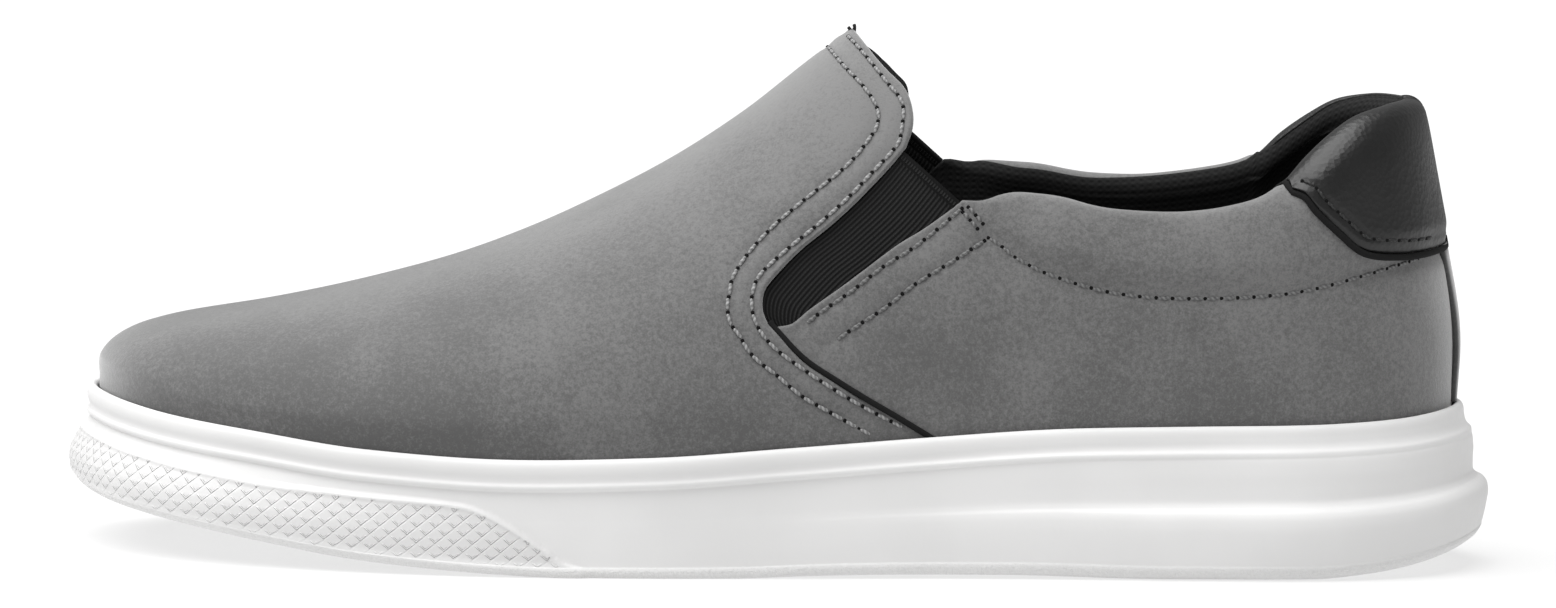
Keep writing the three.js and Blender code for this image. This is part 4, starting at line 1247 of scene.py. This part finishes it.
def dressTabEdge(material, low):
    # Black binding that shows below the tab's lower edge
    s, t, side = low
    rise = swell(lastPoint(s, t, side))
    path = lastPoint(s, t - tab["bindingBelow"], side, rise + 0.35)
    tips = s[[0, -1]] - 0.0015
    end, radius = collarTop(tips, side[[0, -1]])
    over = collarRoll(tips, end, side[[0, -1]], radius, np.full(2, -0.15), 8, 0.25, 1.3)
    path = np.concatenate([over[0, ::-1], path[2:-2], over[1, :3]])
    meshPiece("tabBinding", tube(path, tab["bindingRadius"]), material, "heel_tab", wrapRows=True)


footbed = {"low": 0.3, "thickness": 4.0, "edge": -2.1, "columns": 120}    # edge off the upper's outline


def dressInsole(material):
    # Footbed: flat on the floor of the cup, its upper edge rounded
    s = np.linspace(0, 1, footbed["columns"])
    side = np.concatenate([-np.ones(len(s)), np.ones(len(s) - 2)])
    s = np.concatenate([s, s[-2:0:-1]])
    profile = [(0.0, 0.0), (0.0, 0.7), (-0.3, 0.9), (-0.9, 1.0), (-6.0, 0.98)]
    crown = around("crown", s, 1)

    def height(place, share):
        return lipAt(place) - sole["cupDepth"] + footbed["low"] + footbed["thickness"] * share

    rows = [np.stack([alongX(crown), centreAt(crown), height(crown, 0.0)], -1)]
    for grow, share in profile:
        x, y = planPoint(s, side, footbed["edge"] + grow)
        rows.append(np.stack([x, y, height(placeOf(x), share)], -1))
    rows.append(np.stack([alongX(crown), centreAt(crown), height(crown, 0.95)], -1))
    points = np.stack(rows, axis=1)
    meshPiece("footbed", points, material, "insole", wrapColumns=True, flow=flowOf(points))


light = {"floor": 0.26, "floorGlow": 0.63, "world": 0.38, "sun": 4.3, "spread": 70,
         "from": (-0.33, -0.12, 0.92)}


def studio():
    # Pale floor, which glows a little so that shadows stay weak, and one broad soft light above the toe
    bpy.ops.mesh.primitive_plane_add(size=12, location=(0, 0, 0))
    floor = bpy.context.object
    floor.name = "studioFloor"
    paper = Finish("studioPaper", Roughness=0.9)
    paper.set(Base_Color=paper.mix(paper.noise(3.0), grey(light["floor"]), grey(light["floor"] + 0.01)))
    paper.set(Emission_Color=(1, 1, 1, 1), Emission_Strength=light["floorGlow"])
    floor.data.materials.append(paper.material)
    world = bpy.data.worlds.new("studioLight")
    bpy.context.scene.world = world
    world.use_nodes = True
    background = world.node_tree.nodes["Background"]
    background.inputs["Color"].default_value = (1, 1, 1, 1)
    background.inputs["Strength"].default_value = light["world"]
    bpy.context.scene.view_settings.view_transform = "Standard"
    data = bpy.data.lights.new("overheadLight", "SUN")
    data.energy, data.angle = light["sun"], np.radians(light["spread"])
    lamp = bpy.data.objects.new("overheadLight", data)
    bpy.context.scene.collection.objects.link(lamp)
    lamp.rotation_euler = aimed(normalise(np.array(light["from"]))).to_euler()


def aimed(away):
    # Rotation that turns local +Z to the given direction, with local +Y as near upright as it can be
    right = normalise(np.cross(np.array([0.0, 0.0, 1.0]), away))
    up = np.cross(away, right)
    return Matrix(np.stack([right, up, away], 1).tolist())


view = {"azimuth": -2.5, "elevation": 5.0, "roll": 1.216, "distance": 1.5, "focal": 165.6,
        "aim": (-0.0015, 0.0007, 0.0518)}


def photoCamera():
    # Long lens a metre and a half off the outer side, slightly above, a little towards the toe
    azimuth, elevation, roll = np.radians([view["azimuth"], view["elevation"], view["roll"]])
    level = np.cos(elevation)
    away = np.array([np.sin(azimuth) * level, -np.cos(azimuth) * level, np.sin(elevation)])
    data = bpy.data.cameras.new("photoCamera")
    data.sensor_width = 36.0
    data.lens = view["focal"]
    camera = bpy.data.objects.new("photoCamera", data)
    bpy.context.scene.collection.objects.link(camera)
    camera.location = np.array(view["aim"]) + away * view["distance"]
    camera.rotation_euler = (aimed(away) @ Matrix.Rotation(roll, 3, "Z")).to_euler()
    bpy.context.scene.camera = camera


# The last's frame is moved so that the footbed's outline lies in the middle of the model's
s, side = soleLoops()
insoleLow, insoleHigh = (np.array(corner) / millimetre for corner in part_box("insole"))
insoleX, insoleY = planPoint(s, side, footbed["edge"])
frameShift = np.array([(insoleLow[0] + insoleHigh[0] - insoleX.min() - insoleX.max()) / 2,
                       (insoleLow[1] + insoleHigh[1] - insoleY.min() - insoleY.max()) / 2, 0.0])

rubber = rubberFinish()
nubuck = nubuckFinish("brushedLeather", 0.172, 0.095)
darkNubuck = nubuckFinish("backStripLeather", 0.06, 0.035)
blackLeather = smoothLeatherFinish()
elastic = elasticFinish()
meshLining = meshFinish("collarMesh", 0.004, 0.034)
vampLining = meshFinish("frontTextile", 0.006, 0.015)
# painted light and shade: one grey thread in two copies, lighter on the front panel as if lit from above,
# darker on the quarters as if in shade
litThread = threadFinish("litThread", 0.26)
shadedThread = threadFinish("shadedQuarterThread", 0.14)
blackThread = threadFinish("blackThread", 0.015)
# painted shade: near-black drops stand in for the shade in the needle holes
needleHoleShade = plainFinish("needleHoles", 0.006, 1.0)
pipingCloth = plainFinish("pipingCloth", 0.01, 0.9)
print("scene: materials are ready")

dressSole(rubber)
dressTread(rubber)
print("scene: sole and tread")
dressFrontPanel(nubuck, vampLining)
dressQuarters(nubuck)
print("scene: upper")
dressCollarLining(meshLining)
dressInsole(vampLining)
dressGore("goreOuter", "gore_lateral", -1.0, elastic)
dressGore("goreInner", "gore_medial", 1.0, elastic)
print("scene: lining, footbed and gores")
tabLow = dressHeelTab(blackLeather)
dressTabEdge(pipingCloth, tabLow)
dressBackStrip(darkNubuck)
dressSeamPiping(pipingCloth)
print("scene: heel tab, strip and piping")
dressStitches(litThread, shadedThread, blackThread, needleHoleShade)
dressThreadEnds(plainFinish("threadEnds", 0.03, 0.8))
print("scene: stitches")
studio()
photoCamera()
